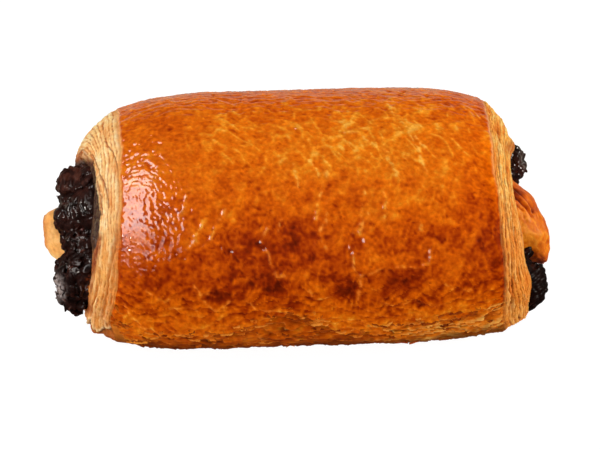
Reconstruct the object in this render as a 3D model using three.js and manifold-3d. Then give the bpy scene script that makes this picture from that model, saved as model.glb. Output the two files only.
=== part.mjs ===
// Pain au chocolat: one rolled, laminated dough baked round two chocolate batons.
// Millimetres, +Z up. X runs along the roll, the flat underside rests on Z = 0.
// The dough is a single solid with two channels; each baton is a solid that runs
// the whole way through it and has swollen where it came out of both ends.

import * as THREE from "three";
import Module from "manifold-3d";
import { mergeVertices } from "three/addons/utils/BufferGeometryUtils.js";

// ---------------------------------------------------------------- driving sizes
const HALF_WIDTH = 33.0; // across the roll, at its widest
const WIDEST_Z = 17.0; // height of the widest line
const CROWN = 26.0; // from the widest line to the top
const BELLY = 18.6; // from the widest line down; more than WIDEST_Z, so the base comes out flat
const UPPER_POWER = 2.2; // superellipse powers of the crown and of the belly
const LOWER_POWER = 2.6;
const TAPER_MIDDLE = 2.0; // station of the fullest section
const TAPER_FROM = 20.0; // how far from there the skin starts to draw in towards its ends
const TAPER_RUN = 26.0;
const TAPER = 0.085; // share of the width lost after that run
const CROWN_DROP = 46.0; // how fast the top comes down with the width

const GAP = 0.3; // clearance between the dough and the chocolate
const SLIVER = 0.03; // facets thinner than this, left where two surfaces cross, are closed up

// Round the section the four numbers stand for the far side (+Y), top, near side (-Y) and base.
const LEFT = {
  side: -1,
  skin: [42.6, 40.7, 41.8, 47.6], // where the glazed skin ends
  rim: [51.9, 46.8, 47.8, 53.2], // how far the innermost layer reaches
  wall: [13.8, 11.0, 9.3, 5.5], // thickness of the layered wall
  core: 50.0, // how far the dough inside the mouth reaches, at its middle
  mouth: [-3.0, 18.0], // middle of the mouth, y and z
};
const RIGHT = {
  side: 1,
  skin: [45.6, 46.7, 47.7, 51.0],
  rim: [52.0, 51.2, 53.4, 56.6],
  wall: [12.2, 10.0, 8.8, 5.5],
  core: 53.6,
  mouth: [-2.5, 19.0],
};
const WALL_ROWS = 8; // rows of facets down each layered wall
const STEP_COUNT = 4; // how many layer steps show in the solid's wall
const STEP_DEPTH = 0.35;
const LIP = 1.1; // rounding of the rim
const GROOVE = 2.6; // depth of the groove between the rim and the dough inside it

const CORE_ROWS = [0.3, 0.65]; // rows of the domed dough inside the mouth, groove 0 to middle 1

const AROUND = 76; // facets round the dough
const SKIN_ROWS = 12;

// Each baton: stations of [x, y, z, half width, half height].
const BATON_FAR = [
  [-57.6, 2.0, 21.0, 0, 0],
  [-56.8, 2.1, 21.1, 4.6, 4.6],
  [-54.6, 2.9, 21.6, 7.8, 7.9],
  [-51.4, 3.4, 21.8, 8.9, 8.8],
  [-48.2, 3.8, 21.6, 8.8, 8.4],
  [-45.4, 3.8, 21.0, 7.6, 6.6],
  [-42.0, 5.0, 20.6, 6.4, 4.4],
  [-30.0, 6.4, 20.6, 6.2, 3.9],
  [0.0, 8.4, 21.0, 6.2, 3.8],
  [30.0, 10.2, 21.6, 6.2, 3.9],
  [44.0, 10.8, 22.0, 5.8, 4.4],
  [48.5, 10.6, 22.0, 5.5, 5.0],
  [51.6, 10.4, 22.0, 5.5, 5.2],
  [53.8, 10.2, 21.8, 4.3, 4.2],
  [55.0, 10.0, 21.6, 2.3, 2.4],
  [55.4, 9.9, 21.5, 0, 0],
];
const BATON_NEAR = [
  [-58.4, -13.2, 15.6, 0, 0],
  [-57.6, -13.3, 15.6, 4.0, 3.6],
  [-55.4, -14.6, 15.8, 6.4, 6.2],
  [-52.0, -15.4, 15.9, 7.7, 7.4],
  [-48.8, -15.6, 15.9, 7.7, 7.2],
  [-46.0, -15.6, 15.6, 7.2, 6.2],
  [-42.5, -15.6, 15.6, 6.4, 4.4],
  [-30.0, -15.6, 15.8, 6.2, 3.9],
  [0.0, -16.0, 16.2, 6.2, 3.8],
  [30.0, -16.4, 16.6, 6.2, 3.9],
  [46.0, -16.8, 16.8, 6.2, 4.6],
  [50.5, -17.6, 16.6, 7.0, 6.6],
  [54.0, -18.0, 16.4, 8.1, 8.1],
  [57.2, -18.0, 16.2, 6.9, 7.1],
  [58.8, -17.8, 16.0, 4.2, 4.4],
  [59.5, -17.7, 16.0, 0, 0],
];
const BATON_AROUND = 22;
const BATON_POWER = 2.4; // a baton's rounded-square section
const LUMP = 0.04; // lumps of the swollen ends, as a share of the radius
const LUMP_FROM = 45.0;

// The dough between the batons, which has puffed out of the mouth as a lobe.
const LOBE_LEFT = [
  [-59.75, 0.6, 12.4, 0, 0],
  [-58.9, 0.4, 12.4, 4.0, 4.2],
  [-56.6, -0.4, 12.6, 5.8, 6.4],
  [-52.8, -1.8, 13.2, 6.8, 7.6],
  [-48.0, -3.4, 14.2, 8.5, 8.8],
  [-38.0, -4.6, 14.4, 4.5, 6.0],
  [-37.0, -4.6, 14.4, 0, 0],
];
const LOBE_RIGHT = [
  [38.0, -4.0, 19.0, 0, 0],
  [39.0, -4.0, 19.0, 5.0, 7.0],
  [49.0, -4.0, 18.6, 10.0, 11.2],
  [53.4, -4.4, 18.8, 8.8, 10.2],
  [57.0, -5.0, 18.4, 7.2, 8.4],
  [59.1, -5.4, 18.0, 4.6, 5.6],
  [59.75, -5.6, 17.9, 0, 0],
];
const LOBE_AROUND = 24;

// ---------------------------------------------------------------- small helpers
const clamp = (v, lo, hi) => Math.min(hi, Math.max(lo, v));
const power = (v, p) => Math.sign(v) * Math.abs(v) ** p;

// A smooth value round the section from its far, top, near and base values.
function round4([far, top, near, base], phi) {
  const c = Math.cos(phi);
  const s = Math.sin(phi);
  const wy = c * c;
  return (c > 0 ? far : near) * wy + (s > 0 ? top : base) * (1 - wy);
}

// How far the section has drawn in at station x.
function drawnIn(x) {
  const t = clamp((Math.abs(x - TAPER_MIDDLE) - TAPER_FROM) / TAPER_RUN, 0, 1.4);
  return 1 - TAPER * t * t;
}

// Outline of the skin at angle phi (0 far side, 90 degrees top, 180 near side).
function outline(phi, k) {
  const c = Math.cos(phi);
  const s = Math.sin(phi);
  const p = s >= 0 ? UPPER_POWER : LOWER_POWER;
  const y = HALF_WIDTH * k * power(c, 2 / p);
  const z =
    s >= 0
      ? WIDEST_Z + (CROWN - CROWN_DROP * (1 - k)) * power(s, 2 / p)
      : WIDEST_Z + BELLY * power(s, 2 / p);
  return [y, Math.max(0, z)];
}

// Angles that lie evenly along the outline, so that no facet is much longer than the next.
function evenAngles(count) {
  const fine = 4000;
  const sum = [0];
  let last = outline(0, 1);
  for (let i = 1; i <= fine; i++) {
    const next = outline((i / fine) * 2 * Math.PI, 1);
    sum.push(sum[i - 1] + Math.hypot(next[0] - last[0], next[1] - last[1]));
    last = next;
  }
  const angles = [];
  let at = 0;
  for (let i = 0; i < count; i++) {
    const want = (sum[fine] * i) / count;
    while (sum[at + 1] < want) at++;
    const part = (want - sum[at]) / (sum[at + 1] - sum[at] || 1);
    angles.push(((at + part) / fine) * 2 * Math.PI);
  }
  return angles;
}

// A closed surface from rings of equal length, closed at both ends by one point.
function skinOver(startPoint, rings, endPoint) {
  const n = rings[0].length;
  const points = [startPoint, ...rings.flat(), endPoint];
  const index = [];
  for (let j = 0; j < n; j++) index.push(0, 1 + ((j + 1) % n), 1 + j);
  for (let i = 0; i + 1 < rings.length; i++)
    for (let j = 0; j < n; j++) {
      const a = 1 + i * n + j;
      const b = 1 + i * n + ((j + 1) % n);
      index.push(a, b, a + n, b, b + n, a + n);
    }
  const end = points.length - 1;
  const from = 1 + (rings.length - 1) * n;
  for (let j = 0; j < n; j++) index.push(end, from + j, from + ((j + 1) % n));
  const geometry = new THREE.BufferGeometry();
  geometry.setAttribute(
    "position",
    new THREE.Float32BufferAttribute(points.flat(), 3),
  );
  geometry.setIndex(index);
  return geometry;
}

// ---------------------------------------------------------------- the dough
// Rings of one end, from the edge of the skin down the layered wall and into the mouth.
function endRings(end, angles) {
  const [my, mz] = end.mouth;
  const rings = [];
  const ringAt = (place) =>
    angles.map((phi) => {
      const skinX = round4(end.skin, phi);
      const [oy, oz] = outline(phi, drawnIn(end.side * skinX));
      const reach = Math.hypot(oy - my, oz - mz);
      const { inset, x } = place(phi, skinX);
      const share = 1 - Math.min(0.97, inset / reach);
      return [end.side * x, my + (oy - my) * share, mz + (oz - mz) * share];
    });
  for (let i = 0; i <= WALL_ROWS; i++) {
    const s = i / WALL_ROWS;
    rings.push(
      ringAt((phi, skinX) => {
        const out = round4(end.rim, phi) - skinX;
        const step =
          STEP_DEPTH * Math.sin(s * Math.PI * 2 * STEP_COUNT) * Math.sin(s * Math.PI);
        return {
          inset: s * round4(end.wall, phi),
          x: skinX + out * Math.sin((s * Math.PI) / 2) ** 0.92 + step,
        };
      }),
    );
  }
  for (const [more, back] of [
    [LIP, 0.25],
    [LIP * 1.9, 0.6 * GROOVE],
    [LIP * 2.9, GROOVE],
  ])
    rings.push(
      ringAt((phi) => ({
        inset: round4(end.wall, phi) + more,
        x: round4(end.rim, phi) - back,
      })),
    );
  const groove = rings[rings.length - 1];
  for (const t of CORE_ROWS)
    rings.push(
      groove.map(([x, y, z]) => [
        x + (end.side * end.core - x) * Math.sin((t * Math.PI) / 2),
        y + (my - y) * t,
        z + (mz - z) * t,
      ]),
    );
  return rings;
}

function doughShell() {
  const angles = evenAngles(AROUND);
  const left = endRings(LEFT, angles).reverse();
  const right = endRings(RIGHT, angles);
  const skin = [];
  for (let i = 1; i < SKIN_ROWS; i++) {
    const t = i / SKIN_ROWS;
    skin.push(
      angles.map((phi) => {
        const x =
          -round4(LEFT.skin, phi) * (1 - t) + round4(RIGHT.skin, phi) * t;
        return [x, ...outline(phi, drawnIn(x))];
      }),
    );
  }
  return skinOver(
    [-LEFT.core, ...LEFT.mouth],
    [...left, ...skin, ...right],
    [RIGHT.core, ...RIGHT.mouth],
  );
}

// ---------------------------------------------------------------- lofted pieces
// Catmull-Rom between stations, so the piece is smooth along its length.
function between(stations, k, t) {
  const p = [k - 1, k, k + 1, k + 2].map(
    (i) => stations[clamp(i, 0, stations.length - 1)],
  );
  return p[1].map((_, c) => {
    const v =
      0.5 *
      (2 * p[1][c] +
        (p[2][c] - p[0][c]) * t +
        (2 * p[0][c] - 5 * p[1][c] + 4 * p[2][c] - p[3][c]) * t * t +
        (3 * p[1][c] - p[0][c] - 3 * p[2][c] + p[3][c]) * t * t * t);
    return c > 2 ? Math.max(v, 0.25) : v;
  });
}

function loft(stations, count, sectionPower, lump, grow) {
  const rings = [];
  const last = stations.length - 1;
  for (let k = 0; k < last; k++) {
    const parts = Math.abs(stations[k][0]) > LUMP_FROM - 3 ? 2 : 1;
    for (let j = 0; j < parts; j++) {
      if (k === 0 && j === 0) continue;
      const [x, y, z, ry, rz] =
        j === 0 ? stations[k] : between(stations, k, j / parts);
      const swell = clamp((Math.abs(x) - LUMP_FROM) / 5, 0, 1) * lump;
      const ring = [];
      for (let i = 0; i < count; i++) {
        const a = (i / count) * 2 * Math.PI;
        const lumps =
          1 +
          swell *
            (Math.sin(2 * a + 0.5 * x + 0.8) +
              0.8 * Math.sin(3 * a - 0.9 * x + 1.1) +
              0.4 * Math.sin(5 * a + 0.4 * x + 2.3));
        ring.push([
          x,
          y + (ry * lumps + grow) * power(Math.cos(a), 2 / sectionPower),
          z + (rz * lumps + grow) * power(Math.sin(a), 2 / sectionPower),
        ]);
      }
      rings.push(ring);
    }
  }
  const tip = (s, way) => [s[0] + way * grow, s[1], s[2]];
  return skinOver(tip(stations[0], -1), rings, tip(stations[last], 1));
}

// ---------------------------------------------------------------- solids
const wasm = await Module();
wasm.setup();

function solidOf(geometry) {
  const merged = mergeVertices(geometry, 1e-4);
  return new wasm.Manifold(
    new wasm.Mesh({
      numProp: 3,
      vertProperties: merged.attributes.position.array,
      triVerts: new Uint32Array(merged.index.array),
    }),
  );
}

function geometryOf(solid) {
  const mesh = solid.getMesh();
  const geometry = new THREE.BufferGeometry();
  const xyz = new Float32Array(mesh.numVert * 3);
  for (let i = 0; i < mesh.numVert; i++)
    xyz.set(
      mesh.vertProperties.subarray(i * mesh.numProp, i * mesh.numProp + 3),
      i * 3,
    );
  geometry.setAttribute("position", new THREE.BufferAttribute(xyz, 3));
  geometry.setIndex(new THREE.BufferAttribute(mesh.triVerts, 1));
  geometry.computeVertexNormals();
  return geometry;
}

const baton = (stations, grow) =>
  solidOf(loft(stations, BATON_AROUND, BATON_POWER, LUMP, grow));
const lobe = (stations) => solidOf(loft(stations, LOBE_AROUND, 2, 0.03, 0));

const chocolateFar = baton(BATON_FAR, 0);
const chocolateNear = baton(BATON_NEAR, 0);
const whole = solidOf(doughShell())
  .add(lobe(LOBE_LEFT))
  .add(lobe(LOBE_RIGHT))
  .subtract(baton(BATON_FAR, GAP))
  .subtract(baton(BATON_NEAR, GAP))
  .simplify(SLIVER);
// The cut can leave a crumb of dough between lobe and chocolate: the roll itself is kept.
const dough = whole
  .decompose()
  .reduce((a, b) => (a.volume() > b.volume() ? a : b));

// ---------------------------------------------------------------- the model
const crust = new THREE.MeshStandardMaterial({
  name: "dough",
  color: 0xc9741c,
  roughness: 0.4,
  metalness: 0,
});
const chocolate = new THREE.MeshStandardMaterial({
  name: "chocolate",
  color: 0x2a1610,
  roughness: 0.35,
  metalness: 0,
});

const pastry = new THREE.Group();
for (const [name, solid, material] of [
  ["dough_roll", dough, crust],
  ["chocolate_far", chocolateFar, chocolate],
  ["chocolate_near", chocolateNear, chocolate],
]) {
  const mesh = new THREE.Mesh(geometryOf(solid), material);
  mesh.name = name;
  pastry.add(mesh);
}

export default pastry;
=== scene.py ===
"""The looks of a pain au chocolat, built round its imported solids.

The dough is one continuous surface in three pieces that share their edge points: the glazed
crust and the two layered ends. The chocolate, the two dough lobes and the loose flakes are pieces
of their own. Shapes come from the same sizes as the solids, finely meshed, with the wrinkles,
layers, pits and torn edges moved into the mesh. Lengths in this file are millimetres until a
mesh is made; the photograph's frame is 600 x 449 pixels.
"""

import math

import bpy
import numpy as np
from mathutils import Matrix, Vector


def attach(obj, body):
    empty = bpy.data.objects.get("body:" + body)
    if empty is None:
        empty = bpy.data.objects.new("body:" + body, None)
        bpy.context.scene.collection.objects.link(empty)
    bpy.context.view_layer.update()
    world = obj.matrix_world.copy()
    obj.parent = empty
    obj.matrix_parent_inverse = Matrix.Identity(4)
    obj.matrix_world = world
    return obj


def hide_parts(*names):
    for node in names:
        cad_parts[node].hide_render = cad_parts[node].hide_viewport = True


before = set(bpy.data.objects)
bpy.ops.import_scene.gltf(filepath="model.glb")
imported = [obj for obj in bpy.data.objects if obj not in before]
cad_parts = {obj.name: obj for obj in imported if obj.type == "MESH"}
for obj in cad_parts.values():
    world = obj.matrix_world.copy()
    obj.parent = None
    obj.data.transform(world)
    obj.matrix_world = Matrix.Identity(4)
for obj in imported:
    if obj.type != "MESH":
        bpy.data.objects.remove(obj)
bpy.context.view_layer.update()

# ------------------------------------------------------------------ sizes, as in the solids
HALF_WIDTH, WIDEST_Z, CROWN, BELLY = 33.0, 17.0, 26.0, 18.6
UPPER_POWER, LOWER_POWER = 2.2, 2.6
TAPER_MIDDLE, TAPER_FROM, TAPER_RUN, TAPER, CROWN_DROP = 2.0, 20.0, 26.0, 0.085, 46.0
LIP, GROOVE = 1.1, 2.6
# far side, top, near side, base
LEFT = dict(side=-1, skin=(42.6, 40.7, 41.8, 47.6), rim=(51.9, 46.8, 47.8, 53.2),
            wall=(13.8, 11.0, 9.3, 5.5), core=50.0, mouth=(-3.0, 18.0))
RIGHT = dict(side=1, skin=(45.6, 46.7, 47.7, 51.0), rim=(52.0, 51.2, 53.4, 56.6),
             wall=(12.2, 10.0, 8.8, 5.5), core=53.6, mouth=(-2.5, 19.0))
# x, y, z, half width, half height
BATON_FAR = [
    (-57.6, 2.0, 21.0, 0, 0), (-56.8, 2.1, 21.1, 4.6, 4.6), (-54.6, 2.9, 21.6, 7.8, 7.9),
    (-51.4, 3.4, 21.8, 8.9, 8.8), (-48.2, 3.8, 21.6, 8.8, 8.4), (-45.4, 3.8, 21.0, 7.6, 6.6),
    (-42.0, 5.0, 20.6, 6.4, 4.4), (-30.0, 6.4, 20.6, 6.2, 3.9), (0.0, 8.4, 21.0, 6.2, 3.8),
    (30.0, 10.2, 21.6, 6.2, 3.9), (44.0, 10.8, 22.0, 5.8, 4.4), (48.5, 10.6, 22.0, 5.5, 5.0),
    (51.6, 10.4, 22.0, 5.5, 5.2), (53.8, 10.2, 21.8, 4.3, 4.2), (55.0, 10.0, 21.6, 2.3, 2.4),
    (55.4, 9.9, 21.5, 0, 0),
]
BATON_NEAR = [
    (-58.4, -13.2, 15.6, 0, 0), (-57.6, -13.3, 15.6, 4.0, 3.6), (-55.4, -14.6, 15.8, 6.4, 6.2),
    (-52.0, -15.4, 15.9, 7.7, 7.4), (-48.8, -15.6, 15.9, 7.7, 7.2), (-46.0, -15.6, 15.6, 7.2, 6.2),
    (-42.5, -15.6, 15.6, 6.4, 4.4), (-30.0, -15.6, 15.8, 6.2, 3.9), (0.0, -16.0, 16.2, 6.2, 3.8),
    (30.0, -16.4, 16.6, 6.2, 3.9), (46.0, -16.8, 16.8, 6.2, 4.6), (50.5, -17.6, 16.6, 7.0, 6.6),
    (54.0, -18.0, 16.4, 8.1, 8.1), (57.2, -18.0, 16.2, 6.9, 7.1), (58.8, -17.8, 16.0, 4.2, 4.4),
    (59.5, -17.7, 16.0, 0, 0),
]
LOBE_LEFT = [
    (-59.75, 0.6, 12.4, 0, 0), (-58.9, 0.4, 12.4, 4.0, 4.2), (-56.6, -0.4, 12.6, 5.8, 6.4),
    (-52.8, -1.8, 13.2, 6.8, 7.6), (-48.0, -3.4, 14.2, 8.5, 8.8), (-42.0, -4.6, 14.4, 6.0, 7.0),
]
LOBE_RIGHT = [
    (43.0, -4.0, 19.0, 7.0, 8.0), (49.0, -4.0, 18.6, 10.0, 11.2), (53.4, -4.4, 18.8, 8.8, 10.2),
    (57.0, -5.0, 18.4, 7.2, 8.4), (59.1, -5.4, 18.0, 4.6, 5.6), (59.75, -5.6, 17.9, 0, 0),
]

# ------------------------------------------------------------------ the camera of the photograph
AZIMUTH, ELEVATION = math.radians(-2.2), math.radians(50.0)
DISTANCE, PIXELS_PER_MM = 800.0, 4.22
TARGET, TARGET_PIXEL = np.array([0.0, 0.0, 20.0]), (294.0, 212.0)
FRAME_W, FRAME_H = 600.0, 449.0
BACK = np.array([math.sin(AZIMUTH) * math.cos(ELEVATION),
                 -math.cos(AZIMUTH) * math.cos(ELEVATION), math.sin(ELEVATION)])
ACROSS = np.array([math.cos(AZIMUTH), math.sin(AZIMUTH), 0.0])
UPWARD = np.cross(BACK, ACROSS)
EYE = (TARGET + BACK * DISTANCE + ACROSS * (FRAME_W / 2 - TARGET_PIXEL[0]) / PIXELS_PER_MM
       - UPWARD * (FRAME_H / 2 - TARGET_PIXEL[1]) / PIXELS_PER_MM)


def to_pixels(p):
    """Where points of the object show in the photograph's frame."""
    d = p - EYE
    scale = PIXELS_PER_MM * DISTANCE / -(d @ BACK)
    return FRAME_W / 2 + (d @ ACROSS) * scale, FRAME_H / 2 - (d @ UPWARD) * scale


def make_camera():
    data = bpy.data.cameras.new("camera")
    data.sensor_width = 36.0
    data.lens = 36.0 * DISTANCE / (FRAME_W / PIXELS_PER_MM)
    data.clip_start, data.clip_end = 0.05, 50.0
    cam = bpy.data.objects.new("camera", data)
    cam.location = Vector((EYE / 1000).tolist())
    cam.rotation_mode = "QUATERNION"
    cam.rotation_quaternion = Vector((-BACK).tolist()).to_track_quat("-Z", "Y")
    bpy.context.scene.collection.objects.link(cam)
    bpy.context.scene.camera = cam


# ------------------------------------------------------------------ noise and small helpers
_rng = np.random.RandomState(20)
_PERM = _rng.permutation(256)
_GRAD = _rng.normal(size=(256, 3))
_GRAD /= np.linalg.norm(_GRAD, axis=1, keepdims=True)
_SPOT = _rng.uniform(0.1, 0.9, size=(256, 3))
_RAND = _rng.uniform(-1, 1, size=(256, 4))


def _hash(i, j, k):
    return _PERM[(_PERM[(_PERM[i & 255] + j) & 255] + k) & 255]


def noise(x, y, z=0.0, seed=0):
    """Smooth gradient noise, about -1 to 1, one wave per unit or so."""
    x, y, z = np.broadcast_arrays(x, y, z)
    x, y, z = x + 17.31 * seed, y - 9.17 * seed, z + 5.83 * seed + 0.37
    i, j, k = (np.floor(v).astype(np.int64) for v in (x, y, z))
    fx, fy, fz = x - i, y - j, z - k
    ux, uy, uz = (f * f * f * (f * (f * 6 - 15) + 10) for f in (fx, fy, fz))

    def corner(a, b, c):
        g = _GRAD[_hash(i + a, j + b, k + c)]
        return g[..., 0] * (fx - a) + g[..., 1] * (fy - b) + g[..., 2] * (fz - c)

    def mix(a, b, t):
        return a + (b - a) * t

    low = mix(mix(corner(0, 0, 0), corner(1, 0, 0), ux), mix(corner(0, 1, 0), corner(1, 1, 0), ux), uy)
    high = mix(mix(corner(0, 0, 1), corner(1, 0, 1), ux), mix(corner(0, 1, 1), corner(1, 1, 1), ux), uy)
    return 1.6 * mix(low, high, uz)


def fbm(x, y, z=0.0, octaves=3, seed=0, gain=0.5):
    total, size, norm, f = 0.0, 1.0, 0.0, 1.0
    for o in range(octaves):
        total = total + size * noise(x * f, y * f, z * f, seed + 3 * o)
        norm += size
        size *= gain
        f *= 2.03
    return total / norm


def cells(x, y, z, seed=0):
    """Nearest cell centre: its distance, the next one's, four random numbers of the cell, and the way to it."""
    x, y, z = np.broadcast_arrays(x, y, z)
    x, y, z = x + 11.7 * seed, y + 4.9 * seed, z - 8.3 * seed
    i, j, k = (np.floor(v).astype(np.int64) for v in (x, y, z))
    fx, fy, fz = x - i, y - j, z - k
    best, second = np.full(x.shape, 9.0), np.full(x.shape, 9.0)
    who = np.zeros(x.shape, np.int64)
    way = np.zeros(x.shape + (3,))
    for a in (-1, 0, 1):
        for b in (-1, 0, 1):
            for c in (-1, 0, 1):
                h = _hash(i + a, j + b, k + c)
                v = np.stack([a + _SPOT[h, 0] - fx, b + _SPOT[h, 1] - fy, c + _SPOT[h, 2] - fz], -1)
                d = np.linalg.norm(v, axis=-1)
                near = d < best
                second = np.where(near, best, np.minimum(second, d))
                best = np.where(near, d, best)
                who = np.where(near, h, who)
                way = np.where(near[..., None], v, way)
    return best, second, _RAND[who], way


def soft(v, a, b):
    t = np.clip((v - a) / (b - a), 0, 1)
    return t * t * (3 - 2 * t)


def mix(a, b, t):
    return a + (b - a) * t


def power(v, p):
    return np.sign(v) * np.abs(v) ** p


def linear(*rgb):
    """Linear light from screen values 0 to 255."""
    c = np.array(rgb, float) / 255
    return np.where(c <= 0.04045, c / 12.92, ((c + 0.055) / 1.055) ** 2.4)


def ramp(t, stops):
    """Colour along stops of (place, (r, g, b) screen values)."""
    at = [s[0] for s in stops]
    cols = np.array([linear(*s[1]) for s in stops])
    return np.stack([np.interp(t, at, cols[:, i]) for i in range(3)], -1)


def tint(col, rgb, amount):
    return mix(col, linear(*rgb), np.asarray(amount)[..., None])


def line_distance(px, py, points):
    """Distance in pixels to a polyline, and the signed side of its nearest stretch."""
    best = np.full(np.shape(px), 1e9)
    side = np.zeros(np.shape(px))
    for (x0, y0), (x1, y1) in zip(points, points[1:]):
        ex, ey = x1 - x0, y1 - y0
        length = max(ex * ex + ey * ey, 1e-9)
        t = np.clip(((px - x0) * ex + (py - y0) * ey) / length, 0, 1)
        dx, dy = px - x0 - t * ex, py - y0 - t * ey
        d = np.hypot(dx, dy)
        s = np.sign(ex * (py - y0) - ey * (px - x0))
        side = np.where(d < best, s, side)
        best = np.minimum(best, d)
    return best, side * best


def in_outline(px, py, points):
    """Signed distance in pixels to a closed outline, positive inside."""
    inside = np.zeros(np.shape(px), bool)
    closed = list(points) + [points[0]]
    for (x0, y0), (x1, y1) in zip(closed, closed[1:]):
        if y0 == y1:
            continue
        cross = (y0 > py) != (y1 > py)
        inside ^= cross & (px < (x1 - x0) * (py - y0) / (y1 - y0) + x0)
    d, _ = line_distance(px, py, closed)
    return np.where(inside, d, -d)


def spot(px, py, cx, cy, rx, ry):
    return np.exp(-(((px - cx) / rx) ** 2) - ((py - cy) / ry) ** 2)


# ------------------------------------------------------------------ the smooth dough
def round4(q, phi):
    c, s = np.cos(phi), np.sin(phi)
    wy = c * c
    return np.where(c > 0, q[0], q[2]) * wy + np.where(s > 0, q[1], q[3]) * (1 - wy)


def drawn_in(x):
    t = np.clip((np.abs(x - TAPER_MIDDLE) - TAPER_FROM) / TAPER_RUN, 0, 1.4)
    return 1 - TAPER * t * t


def outline(phi, k):
    c, s = np.cos(phi), np.sin(phi)
    p = np.where(s >= 0, UPPER_POWER, LOWER_POWER)
    y = HALF_WIDTH * k * power(c, 2 / p)
    z = np.where(s >= 0, WIDEST_Z + (CROWN - CROWN_DROP * (1 - k)) * power(s, 2 / p),
                 WIDEST_Z + BELLY * power(s, 2 / p))
    return y, np.maximum(0, z)


def columns(fine, coarse, SPLIT=48.0):
    """Angles round the roll from the middle of the base, and the distance along the outline from the top."""
    phi = np.linspace(-math.pi / 2, 1.5 * math.pi, 8001)
    y, z = outline(phi, 1.0)
    s = np.concatenate([[0], np.cumsum(np.hypot(np.diff(y), np.diff(z)))])
    top = np.interp(math.pi / 2, phi, s)
    step = np.interp(np.abs(s - top), [SPLIT, SPLIT + 3, 58, 63], [fine, fine * 1.5, fine * 1.6, coarse])
    count = np.concatenate([[0], np.cumsum(np.diff(s) / step[1:])])
    n = int(round(count[-1]))
    at = np.arange(n) / n * count[-1]
    return np.interp(at, count, phi), np.interp(at, count, s) - top


def normals(p, wrap=True):
    """Outward normals of a grid of points whose columns run round it."""
    across = np.roll(p, -1, 1) - np.roll(p, 1, 1) if wrap else np.gradient(p, axis=1)
    along = np.gradient(p, axis=0)
    n = np.cross(along, across)
    n /= np.maximum(np.linalg.norm(n, axis=-1, keepdims=True), 1e-9)
    return n


SKIN_STEP, SPLIT = 0.312, 48.0
PHI, W = columns(SKIN_STEP, 1.5)
COLS = len(PHI)


def skin_edge(end):
    seed = 41 if end["side"] < 0 else 43
    around = W / 1.0
    wob = 0.34 * noise(around / 7.0, 0.0, 0.0, seed) + 0.16 * noise(around / 2.1, 3.0, 0.0, seed)
    wob *= soft(70 - np.abs(W), 0, 8)
    if end["side"] < 0:
        wob += 1.8 * np.exp(-(((W - 47) / 8) ** 2))
    return round4(end["skin"], PHI) + wob


EDGE_LEFT, EDGE_RIGHT = skin_edge(LEFT), skin_edge(RIGHT)


def skin_base():
    rows = int(round((EDGE_LEFT.mean() + EDGE_RIGHT.mean()) / SKIN_STEP))
    t = np.linspace(0, 1, rows)[:, None]
    x = -EDGE_LEFT[None] * (1 - t) + EDGE_RIGHT[None] * t
    y, z = outline(np.broadcast_to(PHI, x.shape), drawn_in(x))
    return np.stack([x, y, z], -1)


def end_base(end, rows_wall, rows_lip, rows_core):
    """Rows from the skin's edge down the layered wall, over the lip, through the groove, over the core."""
    edge = EDGE_LEFT if end["side"] < 0 else EDGE_RIGHT
    wall, rim = round4(end["wall"], PHI), round4(end["rim"], PHI)
    y0, z0 = outline(PHI, drawn_in(end["side"] * edge))
    my, mz = end["mouth"]
    reach = np.hypot(y0 - my, z0 - mz)

    def ring(inset, x):
        share = 1 - np.minimum(0.97, inset / reach)
        return np.stack([end["side"] * x, my + (y0 - my) * share, mz + (z0 - mz) * share], -1)

    rows, s_rows = [], []
    for s in np.linspace(0, 1, rows_wall):
        rows.append(ring(s * wall, edge + (rim - edge) * math.sin(s * math.pi / 2) ** 0.92))
        s_rows.append(s)
    for r in np.linspace(0, 1, rows_lip + 1)[1:]:
        back = np.interp(r, [0, 0.34, 0.65, 1], [0, 0.3, 0.6 * GROOVE, GROOVE])
        rows.append(ring(wall + 2.9 * LIP * r, rim - back))
        s_rows.append(1 + r)
    groove = rows[-1]
    for t in np.linspace(0, 0.97, rows_core + 1)[1:]:
        x = groove[:, 0] + (end["side"] * end["core"] - groove[:, 0]) * math.sin(t * math.pi / 2)
        rows.append(np.stack([x, groove[:, 1] + (my - groove[:, 1]) * t,
                              groove[:, 2] + (mz - groove[:, 2]) * t], -1))
        s_rows.append(2 + t)
    return np.array(rows), np.array(s_rows)


# ------------------------------------------------------------------ mesh making
def grid_faces(rows, cols, flip, wrap=True):
    i, j = np.meshgrid(np.arange(rows - 1), np.arange(cols if wrap else cols - 1), indexing="ij")
    a, b = i * cols + j, i * cols + (j + 1) % cols
    quads = np.stack([a, b, b + cols, a + cols], -1).reshape(-1, 4)
    return quads[:, ::-1] if flip else quads


def add_mesh(name, points, faces, colour=None, floats=(), smooth=True):
    mesh = bpy.data.meshes.new(name)
    mesh.from_pydata((points / 1000.0).tolist(), [], [tuple(f) for f in faces])
    mesh.validate(clean_customdata=False)
    if colour is not None:
        rgba = np.ones((len(points), 4))
        rgba[:, :3] = np.clip(colour, 0, 1)
        layer = mesh.color_attributes.new("tone", "FLOAT_COLOR", "POINT")
        layer.data.foreach_set("color", rgba.astype(np.float32).ravel())
    for key, values in floats:
        layer = mesh.attributes.new(key, "FLOAT", "POINT")
        layer.data.foreach_set("value", np.clip(values, 0, 1).astype(np.float32).ravel())
    mesh.polygons.foreach_set("use_smooth", [smooth] * len(mesh.polygons))
    mesh.update()
    obj = bpy.data.objects.new(name, mesh)
    bpy.context.scene.collection.objects.link(obj)
    return obj


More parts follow.
